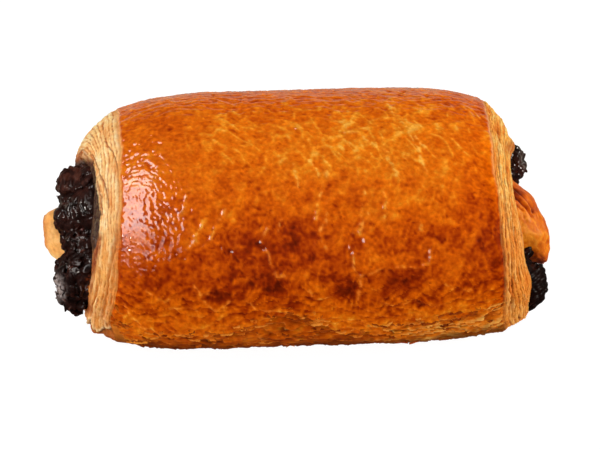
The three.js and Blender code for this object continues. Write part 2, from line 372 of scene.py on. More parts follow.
# ------------------------------------------------------------------ where things lie in the photograph
# Raised creases of the glaze, paler along their crests (thin glaze there, and partly a painted highlight): points, half
# width in pixels, height and one-sided step in mm.
CREASES = [
    ([(385, 104), (399, 119), (416, 137), (425, 147)], 1.7, 0.20, 0.0),
    ([(346, 126), (360, 136), (374, 147)], 1.6, 0.18, 0.0),
    ([(330, 118), (346, 126), (350, 133)], 1.6, 0.12, 0.0),
    ([(384, 150), (391, 161), (397, 178)], 1.5, 0.22, 0.05),
    ([(405, 128), (420, 152), (425, 170)], 1.5, 0.14, 0.0),
    ([(316, 219), (318, 204), (324, 184), (327, 172)], 1.8, 0.30, 0.08),
    ([(383, 219), (386, 206), (387, 198), (384, 192)], 1.9, 0.30, 0.10),
    ([(361, 218), (363, 204), (365, 189)], 1.5, 0.18, 0.0),
    ([(294, 164), (296, 175), (297, 188)], 1.6, 0.22, 0.0),
    ([(309, 160), (316, 170), (319, 178)], 1.5, 0.14, 0.0),
    ([(358, 233), (361, 228), (367, 220), (368, 212)], 2.0, 0.32, 0.12),
    ([(361, 277), (369, 273), (381, 270)], 1.6, 0.26, 0.22),
    ([(352, 255), (356, 270), (361, 279), (359, 300)], 1.6, 0.16, 0.14),
    ([(328, 214), (320, 232), (324, 246), (331, 254)], 1.7, 0.12, 0.0),
    ([(420, 223), (422, 234)], 1.5, 0.24, 0.0),
    ([(430, 251), (429, 263), (418, 266), (396, 267)], 1.6, 0.18, 0.16),
    ([(265, 250), (270, 256), (271, 266), (277, 277), (286, 275)], 1.6, 0.26, 0.18),
    ([(194, 285), (201, 295), (210, 292)], 1.6, 0.26, 0.16),
    ([(204, 301), (213, 311), (225, 308), (229, 303)], 1.6, 0.26, 0.20),
    ([(147, 291), (163, 302), (169, 301)], 1.6, 0.20, 0.16),
    ([(170, 309), (186, 307), (197, 310)], 1.6, 0.22, 0.18),
    ([(214, 228), (218, 221), (222, 218), (225, 208)], 1.6, 0.22, 0.0),
    ([(196, 246), (199, 231), (203, 222)], 1.5, 0.16, 0.0),
    ([(213, 232), (211, 241)], 1.5, 0.18, 0.0),
    ([(262, 243), (265, 234), (268, 226)], 1.5, 0.20, 0.0),
    ([(281, 218), (277, 232)], 1.5, 0.16, 0.0),
    ([(174, 222), (184, 209), (189, 196)], 1.7, 0.20, 0.0),
    ([(124, 305), (131, 316), (142, 326), (160, 334)], 1.6, 0.22, 0.2),
    ([(250, 303), (262, 312), (280, 310), (296, 314)], 1.6, 0.2, 0.2),
    ([(306, 288), (318, 300), (330, 297)], 1.6, 0.2, 0.16),
    ([(385, 302), (398, 306), (412, 300), (421, 303)], 1.5, 0.22, 0.18),
    ([(445, 283), (458, 293), (470, 289)], 1.5, 0.14, 0.08),
]
# Paler (-) and darker (+) patches of the glaze's tone: x, y, half sizes in pixels, amount.
PATCHES = [
    (262, 148, 62, 20, -0.10), (372, 140, 66, 22, -0.17), (350, 165, 50, 22, -0.06),
    (338, 216, 46, 26, -0.05), (150, 122, 40, 14, 0.0), (245, 104, 60, 9, 0.02),
    (335, 101, 30, 7, 0.02), (458, 104, 40, 11, 0.08), (478, 172, 14, 50, 0.07),
    (492, 236, 11, 30, 0.12), (470, 206, 20, 16, 0.12), (196, 238, 30, 20, -0.27),
    (226, 250, 34, 15, 0.12), (262, 270, 18, 9, 0.06), (272, 283, 20, 11, 0.30), (252, 313, 28, 7, 0.08), (440, 302, 22, 8, 0.12), (212, 313, 42, 9, 0.13), (292, 243, 13, 10, 0.20), (298, 228, 12, 10, 0.20),
    (349, 290, 11, 8, 0.38), (345, 280, 22, 12, 0.16), (402, 283, 20, 14, 0.22),
    (414, 300, 14, 5, 0.38), (396, 309, 7, 4, 0.45), (360, 305, 30, 8, 0.14),
    (214, 297, 10, 6, 0.32), (228, 298, 12, 6, 0.28), (142, 281, 9, 6, 0.08), (124, 282, 11, 14, -0.34), (292, 302, 14, 9, 0.12), (370, 268, 28, 14, -0.15), (318, 284, 14, 9, -0.16), (438, 212, 16, 22, -0.13), (152, 262, 26, 14, -0.10), (152, 304, 24, 12, -0.09),
    (470, 285, 12, 9, 0.14), (160, 327, 18, 7, 0.14), (128, 300, 8, 18, 0.12),
    (252, 246, 10, 12, 0.14), (181, 285, 14, 8, 0.16), (248, 312, 18, 8, 0.14),
    (330, 258, 20, 12, 0.10), (440, 232, 26, 14, 0.02), (440, 268, 24, 16, -0.20), (310, 200, 30, 14, 0.04),
    (205, 168, 40, 20, 0.06), (165, 128, 30, 10, 0.10), (420, 185, 26, 16, 0.0), (402, 208, 30, 18, -0.17),
    (384, 228, 22, 10, -0.10), (333, 236, 20, 12, -0.12), (374, 256, 20, 12, -0.10),
    (464, 134, 22, 18, 0.03), (430, 316, 26, 7, -0.04), (280, 332, 30, 6, 0.04),
]
# Lower edge of the glazed sheet along the near side.
SHEET_EDGE = [
    (110, 312), (113, 320), (119, 330), (125, 339), (134, 342), (150, 339), (166, 337), (186, 333),
    (203, 336), (222, 335), (240, 331), (262, 326), (275, 318), (290, 313), (302, 316), (318, 321),
    (332, 329), (348, 334), (366, 333), (382, 328), (396, 324), (414, 323), (436, 323), (458, 319),
    (478, 314), (497, 307), (506, 303),
]
# The smooth sheet that wraps the lower left corner.
UNDER_SHEET = [
    (52, 306), (84, 309), (89, 317), (92, 312), (95, 318), (98, 326), (102, 323), (106, 328),
    (111, 329), (114, 326), (118, 332), (123, 341), (131, 345), (146, 348), (170, 352), (60, 360),
]
# Slits between bundles of layers on the left wall: points, half width in pixels, depth in mm.
LEFT_SLITS = [
    ([(117, 222), (115, 240), (112, 256), (108.5, 272), (106, 290), (103.5, 316)], 1.2, 0.85),
    ([(100, 268), (98, 290), (95, 318)], 1.0, 0.7),
    ([(114, 262), (112, 282), (110, 306)], 0.9, 0.55),
    ([(92, 155), (99, 170), (105, 190), (107, 206)], 0.7, 0.4),
    ([(97, 178), (100, 196), (101, 214)], 0.7, 0.45),
    ([(104, 140), (112, 150), (117, 168), (119, 190)], 0.6, 0.35),
    ([(96, 262), (94, 276), (92, 296)], 0.7, 0.35),
]
RIGHT_SLITS = [
    ([(492, 122), (490, 150), (494, 180), (501, 215), (505, 250), (505, 300)], 0.7, 0.5),
    ([(499, 128), (499, 160), (505, 200), (511, 240), (513, 290), (511, 318)], 0.7, 0.4),
    ([(505, 150), (506, 175), (512, 215), (517, 250)], 0.7, 0.35),
    ([(498, 230), (502, 262), (501, 300), (500, 332)], 0.7, 0.5),
]


def underside_tone(x, y):
    """The base as the baking tray left it: dull brown, mottled, with scorched spots and fine wrinkles."""
    t = 0.46 + 0.34 * fbm(x / 9, y / 9, 0, 4, 31) + 0.20 * noise(x / 2.3, y / 2.1, 0, 44) + 0.15 * noise(x / 0.9, y / 0.9, 0, 45)
    line = np.exp(-((noise(x / 3.2, y / 10, 0, 46) / 0.09) ** 2)) * soft(noise(x / 4, y / 4, 0, 47), -0.2, 0.3)
    t += 0.24 * line
    rgb = ramp(t, [(0, (84, 34, 8)), (0.35, (136, 64, 18)), (0.65, (176, 96, 34)), (0.85, (204, 130, 58)), (1, (226, 160, 90))])
    scorch = soft(noise(x / 1.5, y / 1.3, 0, 48) + 0.3 * noise(x / 7, y / 7, 0, 49), 0.42, 0.62)
    return tint(rgb, (70, 28, 8), 0.7 * scorch), line, scorch


# ------------------------------------------------------------------ the crust
def sag_of(px, py, x):
    """The sheet under the lower left corner hangs out a little."""
    return (1.25 * spot(px, py, 98, 327, 13, 10) * soft(-x, 30, 38))[..., None] * (-0.85 * UPWARD - 0.35 * ACROSS)


def make_crust():
    base = skin_base()
    n = normals(base)
    if (n[len(n) // 2, COLS // 2] @ np.array([0, 0, 1])) < 0:
        n = -n
    x = base[..., 0]
    w = np.broadcast_to(W, x.shape)
    px, py = to_pixels(base)
    seen = soft(n @ BACK, -0.05, 0.12)
    from_left, from_right = x + EDGE_LEFT[None], EDGE_RIGHT[None] - x
    to_edge = np.minimum(from_left, from_right)
    under = soft(np.abs(w), 62, 68)  # the flat base
    near_low = soft(w, 27, 40)
    top_far = soft(-w, 4, 10) * soft(w, -60, -48)

    # Rise and fall of the loaf's surface.
    h = 0.26 * noise(x / 21, w / 17, 0, 1) + 0.12 * noise(x / 9.5, w / 8, 0, 2)
    # Wrinkles: each region has its own direction.
    bend_x, bend_w = 2.2 * noise(x / 8, w / 8, 0, 3), 2.2 * noise(x / 8, w / 8, 0, 4)
    xa, wa = x + bend_x, w + bend_w
    across, along = 0.94 * xa + 0.33 * wa, -0.33 * xa + 0.94 * wa

    def ridges(a, b, seed):
        return (1 - np.minimum(1, 2.1 * np.abs(noise(a, b, 0, seed)))) ** 1.6

    mid = 0.5 * ridges(across / 3.1, along / 6.0, 5) ** 2 + 0.5 * ridges(across / 1.5, along / 2.6, 6) ** 1.5
    far = 0.6 * ridges(xa / 5.2, wa / 1.9, 7) + 0.4 * ridges(xa / 2.4, wa / 1.0, 8)
    x0, w0 = -36.0, 17.0
    r, turn = np.hypot((x - x0) * 1.1, (w - w0) * 0.72), np.arctan2(w - w0, x - x0)
    ring = 0.6 * ridges((r + bend_x * 0.55) / 1.1, turn * 4.2 + r * 0.05, 9) + 0.4 * ridges(xa / 0.8, wa / 0.9, 10)
    m_ring = soft(32 - np.hypot((x + 35) * 1.9, w - 14), 0, 15)
    calm = np.exp(-(((x + 36.5) / 3.6) ** 2) - ((w - 16.5) / 7.5) ** 2)
    m_far = soft(-w, -1, 7)
    m_mid = (1 - m_ring) * (1 - m_far)
    lumps = fbm(x / 1.9, w / 1.9, 0, 2, 11)
    wrinkle = m_ring * ring * (1 - 0.6 * calm) + m_far * (1 - m_ring) * far + m_mid * mid
    quiet = soft(noise(x / 7, w / 6, 0, 12), -0.5, 0.35)
    amount = mix(mix(0.11 * quiet, 0.19, m_far), 0.13, m_ring)
    h += amount * (wrinkle - 0.35) * 1.5 + mix(0.03, 0.05, m_ring) * lumps
    h += mix(0.016, 0.085, m_ring) * noise(x / 0.85, w / 0.85, 0, 13)
    # Hair-fine raised lines: leaning one way on the upper part, the other way below.
    def hair(a, b, seed, thin):
        line = np.exp(-((noise(a, b, 0, seed) / thin) ** 2))
        return line * soft(noise(x / 3.1, w / 3.1, 0, seed + 1), -0.25, 0.25)

    lean = soft(w, 2, 12)
    xs, ws = x + 0.4 * bend_x, w + 0.4 * bend_w
    a1, b1 = 0.86 * xs - 0.5 * ws, 0.5 * xs + 0.86 * ws
    a2, b2 = 0.94 * xs + 0.33 * ws, -0.33 * xs + 0.94 * ws
    upper = np.maximum(hair(a1 / 4.2, b1 / 11, 51, 0.10), 0.8 * hair(a1 / 2.6, b1 / 5.5, 53, 0.15))
    lower = 0.6 * np.maximum(hair(a2 / 3.8, b2 / 12, 55, 0.10), 0.8 * hair(a2 / 2.4, b2 / 7, 57, 0.13))
    net = mix(upper, lower, lean) * (1 - 0.8 * m_ring) * (1 - 0.6 * soft(-w, 12, 20))
    h += 0.13 * net

    # Named creases.
    crest = np.zeros_like(x)
    jitter_x = 2.4 * noise(x / 2.6, w / 2.6, 0, 14) + 1.3 * noise(x / 0.9, w / 0.9, 0, 14)
    jitter_y = 2.4 * noise(x / 2.6, w / 2.6, 0, 15) + 1.3 * noise(x / 0.9, w / 0.9, 0, 15)
    for points, half, high, step in CREASES:
        d, side = line_distance(px + jitter_x, py + jitter_y, points)
        bump = np.exp(-((d / half) ** 2)) * seen
        broken = 0.25 + 0.75 * soft(noise(x / 1.1, w / 1.1, 0, 16), -0.3, 0.3)
        h += 1.05 * high * bump * broken
        h += step * np.tanh(-side / 1.2) * np.exp(-((d / 7) ** 2)) * seen
        crest = np.maximum(crest, bump * broken)

    # Pits of burst bubbles.
    pit_d, _, pit_r, _ = cells(x / 3.2, w / 3.2, 0.5, 3)
    pit = np.exp(-((pit_d / 0.16) ** 2)) * (pit_r[..., 0] > mix(0.72, 0.1, near_low))
    h -= 0.30 * pit * (1 - m_ring)

    # Torn sheets near the base: shingles whose lower edges stand proud, near side and far side.
    _, below = line_distance(px + 1.6 * jitter_x, py + 1.3 * jitter_y, SHEET_EDGE)
    torn_near = soft(below, -1.0, 1.5) * seen * soft(w, 20, 30) * (1 - under)
    torn_back = soft(w, 40, 46) * (1 - seen)
    edge_far = -46.5 + 4.6 * noise(x / 14, 0, 0, 17) + 2.4 * noise(x / 5, 0, 0, 34) + 1.4 * noise(x / 2.5, w / 6, 0, 18)
    torn_far = soft(edge_far - w, 0, 1.2)
    torn = np.clip(torn_near + torn_far + torn_back * (1 - torn_near), 0, 1) * (1 - under)
    q = (np.abs(w) + 2.8 * noise(x / 9, w / 6, 0, 19) + 1.2 * noise(x / 2.6, w / 3, 0, 20)) / 2.3
    layer = np.floor(q)
    f = q - layer
    shelf = 0.5 + 0.5 * noise(x / 5.5, layer * 3.7, 0, 21)
    shingle = f ** 1.4 * shelf
    h += torn * (0.95 * (shingle - 0.45) - 0.36 + 0.3 * soft(w, 44, 50) - 0.3 * soft(noise(x / 2.4, w / 0.8, 0, 42), 0.36, 0.6))
    # Scales that lift on the lower part of the glaze.
    sc_d, sc_2, sc_r, sc_way = cells((x + 1.7 * bend_x) / 3.5, (w + 1.7 * bend_w) / 2.4, 0.2, 5)
    m_scale = near_low * (1 - torn) * (1 - under) + 0.7 * soft(-w, 30, 38) * (1 - torn) * (1 - under)
    m_scale = m_scale * soft(noise(x / 6, w / 4, 0, 36), -0.8, -0.1)
    scale_h = np.clip(-sc_way[..., 1] * 0.9 + sc_way[..., 0] * sc_r[..., 2] * 0.6, -0.5, 0.5)
    h += m_scale * 0.42 * scale_h
    rim = np.exp(-(((sc_2 - sc_d) / 0.09) ** 2)) * m_scale

    # The corner sheet lies lower than the torn edges beside it.
    inside = in_outline(px + 0.8 * jitter_x, py + 0.8 * jitter_y, UNDER_SHEET)
    corner = soft(inside, -0.8, 0.8) * soft(n @ BACK, -0.25, -0.05) * (1 - soft(np.abs(w), 66, 70))
    h = mix(h, -0.55 + 0.12 * noise(x / 6, w / 5, 0, 22), corner)

    sag = sag_of(px, py, x)
    # The cut edge rounds off, and the base stays flat.
    h -= 0.42 * np.exp(-((to_edge / 0.45) ** 2)) + 0.6 * np.exp(-((to_edge / 4.6) ** 2)) * soft(60 - np.abs(w), 0, 12)
    h *= 1 - under
    p = base + n * h[..., None] + sag
    _, line, scorch = underside_tone(base[..., 0], base[..., 1])
    low = (0.35 * soft(fbm(x / 7, w / 7, 0, 3, 23), 0.05, 0.5) + 0.10 * line + 0.12 * scorch) * soft(np.abs(w), 64, 68)
    p[..., 2] = np.maximum(p[..., 2], 0) + low * (p[..., 2] < 0.4)

    # Colour.
    warp_x, warp_w = x + 1.1 * noise(x / 2.4, w / 2.4, 0, 60), w + 1.1 * noise(x / 2.4, w / 2.4, 0, 61)
    tone = 0.44 + 0.13 * fbm(x / 13, w / 11, 0, 3, 24) + mix(0.12, 0.19, soft(w, 4, 18)) * noise(warp_x / 3.6, warp_w / 3.0, 0, 25)
    tone += 0.18 * noise(warp_x / 1.7, warp_w / 1.5, 0, 26) + 0.16 * noise(x / 0.8, w / 0.8, 0, 33)
    tone += 0.22 * soft(noise(warp_x / 1.1, warp_w / 1.0, 0, 35), 0.42, 0.75)
    tone -= 0.34 * net
    for cx, cy, rx, ry, amt in PATCHES:
        tone += amt * spot(px + 2 * jitter_x, py + 2 * jitter_y, cx, cy, rx, ry) * seen
    tone -= 0.20 * (wrinkle - 0.35) * mix(mix(0.9, 1.5, soft(-w, 12, 22)), 0.3, m_ring)
    # crease crests paler: thin glaze there, and partly a painted highlight for their glints
    tone -= 0.36 * crest
    tone += 0.04 * m_ring * soft(-x, 28, 36) * soft(w, 22, 28)
    # darker down the near side: a browner bake there, and partly painted shade where the side turns from the light; a
    # little darker on the far side too
    tone += 0.18 * soft(w, 7, 19) * soft(-w, -46, -36) + 0.13 * soft(w, 16, 24) * soft(-w, -42, -34) + 0.06 * soft(-w, 6, 14) * soft(w, -45, -20)
    # paler under the lower end of the softbox highlight: painted highlight
    tone -= 0.2 * spot(px, py, 134, 240, 20, 22) * seen
    tone += 0.16 * (1 - seen) * soft(noise(x / 16, w / 12, 0, 27), -0.5, 0.6)
    tone += 0.09 * np.exp(-from_right / 1.6) + 0.05 * np.exp(-from_left / 1.2)
    tone += 0.25 * pit
    # on the lifted scales: painted shade in their low parts and a painted highlight along their raised rims
    tone += m_scale * 0.18 * np.clip(-scale_h * 1.6, -0.4, 0.6) - 0.26 * rim * soft(scale_h, -0.1, 0.2) * soft(noise(x / 2.2, w / 2.2, 0, 34), -0.2, 0.3)
    colour = ramp(tone, [(-0.1, (248, 173, 62)), (0.1, (241, 144, 28)), (0.3, (232, 116, 9)),
                         (0.5, (219, 95, 2)), (0.7, (190, 70, 0)), (0.88, (148, 41, 0)), (1.15, (94, 21, 0))])
    # pale tint on the crease crests: partly a painted highlight
    colour = tint(colour, (250, 178, 76), mix(0.4, 0.16, soft(py, 225, 250)) * crest * crest)
    # Torn layers are paler and duller than the glaze, with painted shade in their slits and under each shingle's edge,
    # and a painted highlight on the proud lower edges.
    tan = ramp(0.44 + 0.4 * fbm(x / 3, w / 2, 0, 3, 28) + 0.26 * noise(x / 1.1, w / 0.7, 0, 41) + 0.5 * (f - 0.5) + 0.44 * soft(x, 10, 34) - 0.07 * np.exp(-(((x - 4) / 12) ** 2)),
               [(0, (88, 26, 2)), (0.35, (162, 60, 4)), (0.65, (208, 94, 10)), (0.88, (245, 140, 34)), (1, (253, 184, 84))])
    # painted shadow at the top of each shingle, under the edge of the one above
    tan = tint(tan, (92, 32, 5), 0.95 * soft(0.26 - f, 0, 0.22) * soft(shelf, 0.1, 0.6))
    # painted shade in the slits between torn layers
    slit_shade = soft(noise(x / 2.4, w / 0.8, 0, 42), 0.3, 0.5)
    tan = tint(tan, (54, 15, 3), 0.85 * slit_shade * (1 - 0.4 * soft(x, 14, 34)))
    # painted highlight on the shingles' proud lower edges
    tan = tint(tan, (255, 190, 96), 0.75 * soft(f, 0.78, 0.95) * soft(shelf, 0.45, 0.8) * soft(noise(x / 1.4, w / 3, 0, 51), -0.3, 0.2))
    brown = soft(noise(x / 6, w / 2.2, 0, 29), 0.0, 0.5)
    tan = tint(tan, (184, 80, 14), 0.55 * brown * (1 - 0.7 * soft(x, 10, 30)))
    colour = mix(colour, tan, (torn * (0.55 + 0.4 * soft(noise(x / 4, w / 2.5, 0, 37), -0.3, 0.3)))[..., None])
    # Corner sheet and the turn to the base: smooth, golden, then oven brown, darkened along the turn under by painted
    # shade.
    golden = ramp(0.5 + 0.5 * fbm(x / 5, w / 4, 0, 2, 30) + 0.2 * noise(x / 1.6, w / 1.3, 0, 38),
                  [(0, (160, 72, 12)), (0.6, (204, 110, 30)), (1, (228, 146, 60))])
    colour = mix(colour, golden, corner[..., None])
    # oven brown, with painted shade where the side turns under
    underside_brown_and_shade = soft(np.abs(w) + 1.6 * noise(x / 7, 0.5, 0, 39) + 0.8 * noise(x / 1.8, 0.5, 0, 40), 50.5, 55.5) * (1 - corner * 0.25)
    colour = tint(colour, (96, 36, 6), 0.82 * underside_brown_and_shade)
    # The cut edge of the skin shows its pale layers on the upper left.
    pale_rim = np.exp(-(from_left / (0.5 + 0.3 * noise(x / 3, w / 2.2, 0, 38))) ** 2.5) * soft(26 - w, 0, 10)
    colour = tint(colour, (246, 182, 104), 0.85 * pale_rim * (1 - under))
    # pale line along the right cut edge: its pale layers, and partly a painted sheen
    right_rim_pale_and_sheen = np.exp(-(from_right / (0.4 + 0.25 * noise(x / 3, w / 1.7, 0, 62))) ** 2.5) * soft(14 - w, 0, 12)
    colour = tint(colour, (244, 176, 104), 0.65 * right_rim_pale_and_sheen * (1 - under))
    bottom, _, _ = underside_tone(base[..., 0], base[..., 1])
    ragged = np.abs(w) + 1.4 * noise(x / 3, w / 3, 0, 50) + 0.7 * noise(x / 1.2, w / 1.2, 0, 43)
    colour = mix(colour, bottom, soft(ragged, 58, 63)[..., None])
    gloss = (1 - torn) * (1 - corner * 0.7) * (1 - soft(np.abs(w), 52, 60)) * (1 - 0.7 * near_low)
    gloss *= 0.86 + 0.14 * soft(noise(x / 4, w / 4, 0, 32), -0.5, 0.4)
    gloss *= 1 - np.exp(-((from_right / 3.0) ** 4)) * soft(w, -8, 0)
    gloss *= 1 - (0.3 + 0.5 * soft(0.62 - ring, -0.12, 0.2)) * soft(py, 222, 242) * m_ring

    rows = len(p)
    # The glazed skin, and the torn lower sides with the base, meet along two lines of points.
    first, last = np.searchsorted(W, -SPLIT), np.searchsorted(W, SPLIT)
    pieces = []
    for name, pick in (("crust", np.arange(first, last + 1)),
                       ("crust_base", np.concatenate([np.arange(last, COLS), np.arange(first + 1)]))):
        pieces.append(add_mesh(name, p[:, pick].reshape(-1, 3), grid_faces(rows, len(pick), False, False),
                               colour[:, pick].reshape(-1, 3), [("gloss", gloss[:, pick].ravel())]))
    return pieces, p, colour, base, n


# ------------------------------------------------------------------ the layered ends
def make_end(end, name, crust_row, crust_colour):
    left = end["side"] < 0
    base, s_rows = end_base(end, 122, 10, 14)
    n = normals(base)
    if n[60, COLS // 2] @ np.array([end["side"], 0, 0]) < 0:
        n = -n
    s = np.broadcast_to(s_rows[:, None], base.shape[:2])
    w = np.broadcast_to(W, s.shape)
    px, py = to_pixels(base)
    seen = soft(n @ BACK, -0.15, 0.08)
    seed = 100 if left else 200
    wall = soft(1.04 - s, 0, 0.08)
    count = 12.5 if left else 13.0
    u = count * s + 0.7 * noise(w / 12, s * 3, 0, seed) + 0.55 * noise(w / 26, s * 6.5, 0, seed + 24) + (0.16 if left else 0.3) * noise(w / 2.6, s * 9, 0, seed + 1)
    layer = np.floor(u)
    f = u - layer
    groove = np.exp(-((np.minimum(f, 1 - f) / 0.15) ** 2))
    dash = soft(noise(w / 2.2, np.round(u) * 5.3, 0, seed + 2) + 0.6 * noise(w / 0.9, np.round(u) * 3.1, 0, seed + 3), -0.3, 0.25)
    crest = 1 - (2 * f - 1) ** 4
    high = noise(w / 6, layer * 4.1, 0, seed + 4)
    h = wall * (0.14 * crest + (0.15 if left else 0.17) * high - (0.32 if left else 0.34) * groove * dash)
    fine_f = (u * 1.9 + 0.6 * noise(w / 2.2, s * 20, 0, seed + 5)) % 1.0
    h += wall * 0.08 * (np.abs(2 * fine_f - 1) - 0.5) * soft(noise(w / 3.1, s * 9, 0, seed + 6), -0.4, 0.4)
    h += wall * 0.09 * noise(w / 1.0, s * 30, 0, seed + 7)
    h += 0.5 * noise(w / 13, s * 2.2, 0, seed + 8) * wall * soft(s, 0, 0.2)
    slit = np.zeros_like(s)
    jx, jy = 0.9 * noise(w / 2.0, s * 8, 0, seed + 9), 1.2 * noise(w / 2.0, s * 8, 0, seed + 10)
    for points, half, depth in (LEFT_SLITS if left else RIGHT_SLITS):
        d, _ = line_distance(px + jx, py + jy, points)
        cut = np.exp(-((d / (half * 1.25)) ** 2)) * seen
        h -= (0.85 if left else 0.7) * depth * cut * wall
        slit = np.maximum(slit, cut * wall)
    inside_mouth = soft(s, 1.2, 1.5)
    # inside the mouth the rolled layers show as uneven arcs
    arc = np.hypot(base[..., 1] - end["mouth"][0], (base[..., 2] - end["mouth"][1]) * 1.2) / 1.7
    arc = (arc + 0.6 * noise(base[..., 1] / 5, base[..., 2] / 5, 0, seed + 25)) % 1.0
    h += inside_mouth * (0.6 * noise(base[..., 1] / 4, base[..., 2] / 4, 0, seed + 11)
                         + 0.3 * noise(base[..., 1] / 1.6, base[..., 2] / 1.6, 0, seed + 12)
                         + 0.5 * (np.abs(2 * arc - 1) - 0.5))
    # The bottom sheet wraps the lower part of the wall.
    if left:
        # layer ends hang over the sheet as uneven teeth
        tooth = 4.6 * noise(px / 3.1, 0.5, 0, seed + 30) + 2.6 * noise(px / 1.3, 0.5, 0, seed + 31)
        inside = 0.78 * (py - 311 - 0.8 * (px - 84) - tooth)
        smooth = soft(inside, -0.6, 0.6) * soft(w, 14, 24)
    else:
        smooth = np.zeros_like(s)
    low_wrap = soft(np.abs(w) - 4.0 * noise(s * 4, 0.3, 0, seed + 13), 58, 62)
    smooth = np.maximum(smooth, low_wrap * soft(1.15 - s, 0, 0.2))
    h = mix(h, (-0.75 if left else -0.3) + 0.2 * noise(w / 5, s * 4, 0, seed + 14) + 0.3 * h, smooth)
    h *= soft(s, 0, 0.03)
    p = base + n * h[..., None]
    # the lower near corner stands out a little
    corner = soft(w, 36, 45) * soft(63 - w, 0, 6) * soft(s, 0.05, 0.5) * soft(1.7 - s, 0, 0.5)
    p += 1.35 * corner[..., None] * np.array([0.78 * end["side"], -0.6, -0.15])
    p += (crust_row - base[0])[None] * (0.4 * np.exp(-s / 0.05) + 0.6 * np.exp(-((s / 0.4) ** 2)))[..., None]
    p += sag_of(px, py, base[..., 0]) * (1 - 0.4 * np.exp(-s / 0.05) - 0.6 * np.exp(-((s / 0.4) ** 2)))[..., None]
    p[0] = crust_row
    if left:  # crumpled bits of dough at the top of the left mouth
        for cx, cy, r, lift in ((82.0, 156.0, 1.2, 1.0), (87.0, 152.5, 1.1, 0.9), (90.5, 158.5, 1.0, 0.9), (85.0, 161.0, 0.9, 0.9)):
            d = np.hypot(px - cx, py - cy) + 60 * (1 - seen)
            at = np.unravel_index(np.argmin(d), d.shape)
            away = np.linalg.norm(base - base[at], axis=-1)
            p += (lift * np.exp(-((away / r) ** 2)))[..., None] * np.array([-0.7, 0.1, 0.5])
    if not left:  # the rim is drawn in where the far chocolate came out
        p -= (1.2 * spot(px, py, 514, 176, 7, 15) * seen * soft(s, 0.55, 0.85))[..., None] * np.array([0.9, 0.0, 0.0])
    if not left:  # a small knob of dough at the top of the right mouth
        for cx, cy, r, lift in ((509.0, 145.0, 2.0, 1.0), (510.0, 149.0, 1.6, 0.8)):
            d = np.hypot(px - cx, py - cy) + 60 * (1 - seen)
            at = np.unravel_index(np.argmin(d), d.shape)
            away = np.linalg.norm(base - base[at], axis=-1)
            p += (lift * np.exp(-((away / r) ** 2)))[..., None] * np.array([0.85, 0.1, 0.45])
    p[..., 2] = np.maximum(p[..., 2], 0)

    pale = ramp(0.5 + 0.55 * high + 0.4 * noise(w / 1.7, s * 24, 0, seed + 15) + 0.22 * (crest - 0.8),
                [(0, (238, 160, 84)), (0.5, (255, 210, 140)), (1, (255, 236, 184))] if left else
                [(0, (232, 128, 38)), (0.5, (255, 180, 78)), (1, (255, 220, 132))])
    if not left:
        pale = tint(pale, (238, 132, 32), 0.6 * soft(w, 4, 30))
    pale = tint(pale, (232, 140, 58) if left else (226, 116, 26), (0.2 if left else 0.5) * soft(-high, 0.05, 0.5))
    # darker lines along the grooves between layers, and rarer dark dashes: partly the layers' own colour, partly
    # painted shade in the grooves
    colour = tint(pale, (204, 106, 36) if left else (186, 80, 16), (0.9 if left else 0.8) * groove * (0.2 + 0.8 * dash))
    rare = soft(noise(w / 2.4, np.round(u) * 7.7, 0, seed + 20), 0.25, 0.5)
    colour = tint(colour, (146, 66, 18) if left else (124, 46, 10), (0.85 if left else 0.9) * groove * dash * rare)
    # painted shade in the slits between bundles of layers
    colour = tint(colour, (158, 68, 16) if left else (164, 70, 16), (0.85 if left else 0.45) * slit)
    toast = soft(s, 0.62, 1.0) * (0.55 + 0.45 * noise(w / 5, s * 5, 0, seed + 16))
    colour = tint(colour, (206, 112, 42), np.clip(0.9 * toast, 0, 1))
    colour = tint(colour, (214, 118, 40), 0.75 * np.exp(-s / 0.035))
    reach_in = mix(0.012, 0.15 if left else 0.05, soft(w, 12, 34)) * (1 + 0.6 * noise(w / 1.8, s * 12, 0, seed + 22))
    colour = mix(colour, np.broadcast_to(crust_colour, colour.shape), np.exp(-s / reach_in)[..., None] * 0.9)
    if left:
        colour = tint(colour, (248, 168, 66), 0.42 * soft(w, 16, 30))
        colour = tint(colour, (206, 108, 26), 0.3 * soft(w, 34, 46))
    shade = soft(s, 1.05, 1.35)
    by, bz = base[..., 1], base[..., 2]
    batons = ((3.4, 21.4, 11.5), (-14.6, 16.0, 11.0)) if left else ((10.4, 22.0, 8.0), (-17.8, 16.2, 9.5))
    chocolatey = np.zeros_like(s)
    for cy, cz, reach in batons:
        d = np.hypot(by - cy, bz - cz) + 2.4 * fbm(by / 3, bz / 3, 0, 3, seed + 17)
        chocolatey = np.maximum(chocolatey, soft(reach - d, -0.6, 0.8))
    crumb = ramp(0.5 + 0.35 * noise(by / 2.2, bz / 2.2, 0, seed + 26) + 0.5 * (np.abs(2 * arc - 1) - 0.5),
                 [(0, (120, 52, 16)), (0.5, (190, 104, 40)), (1, (232, 158, 84))])
    colour = mix(colour, crumb, (0.9 * shade)[..., None])
    lit = 1 - 0.9 * seen * soft(172 - py, 0, 9) if left else 1.0
    if left:
        colour = tint(colour, (160, 68, 22), 0.7 * seen * soft(170 - py, 0, 6) * soft(s, 0.85, 1.15))
    else:
        colour = tint(colour, (172, 84, 32), 0.7 * spot(px, py, 511, 147, 6, 6) * seen)
    colour = tint(colour, (46, 22, 16), shade * chocolatey * lit)
    choc_film_and_shade = 0.0
    if left:
        jag = 1.2 * noise(w / 1.6, s * 8, 0, seed + 21)
        d2, side = line_distance(px + 0.6 * jag, py, [(87, 150), (92.5, 160), (95.8, 178), (98.6, 198), (99.6, 222), (98, 240), (93, 256)])
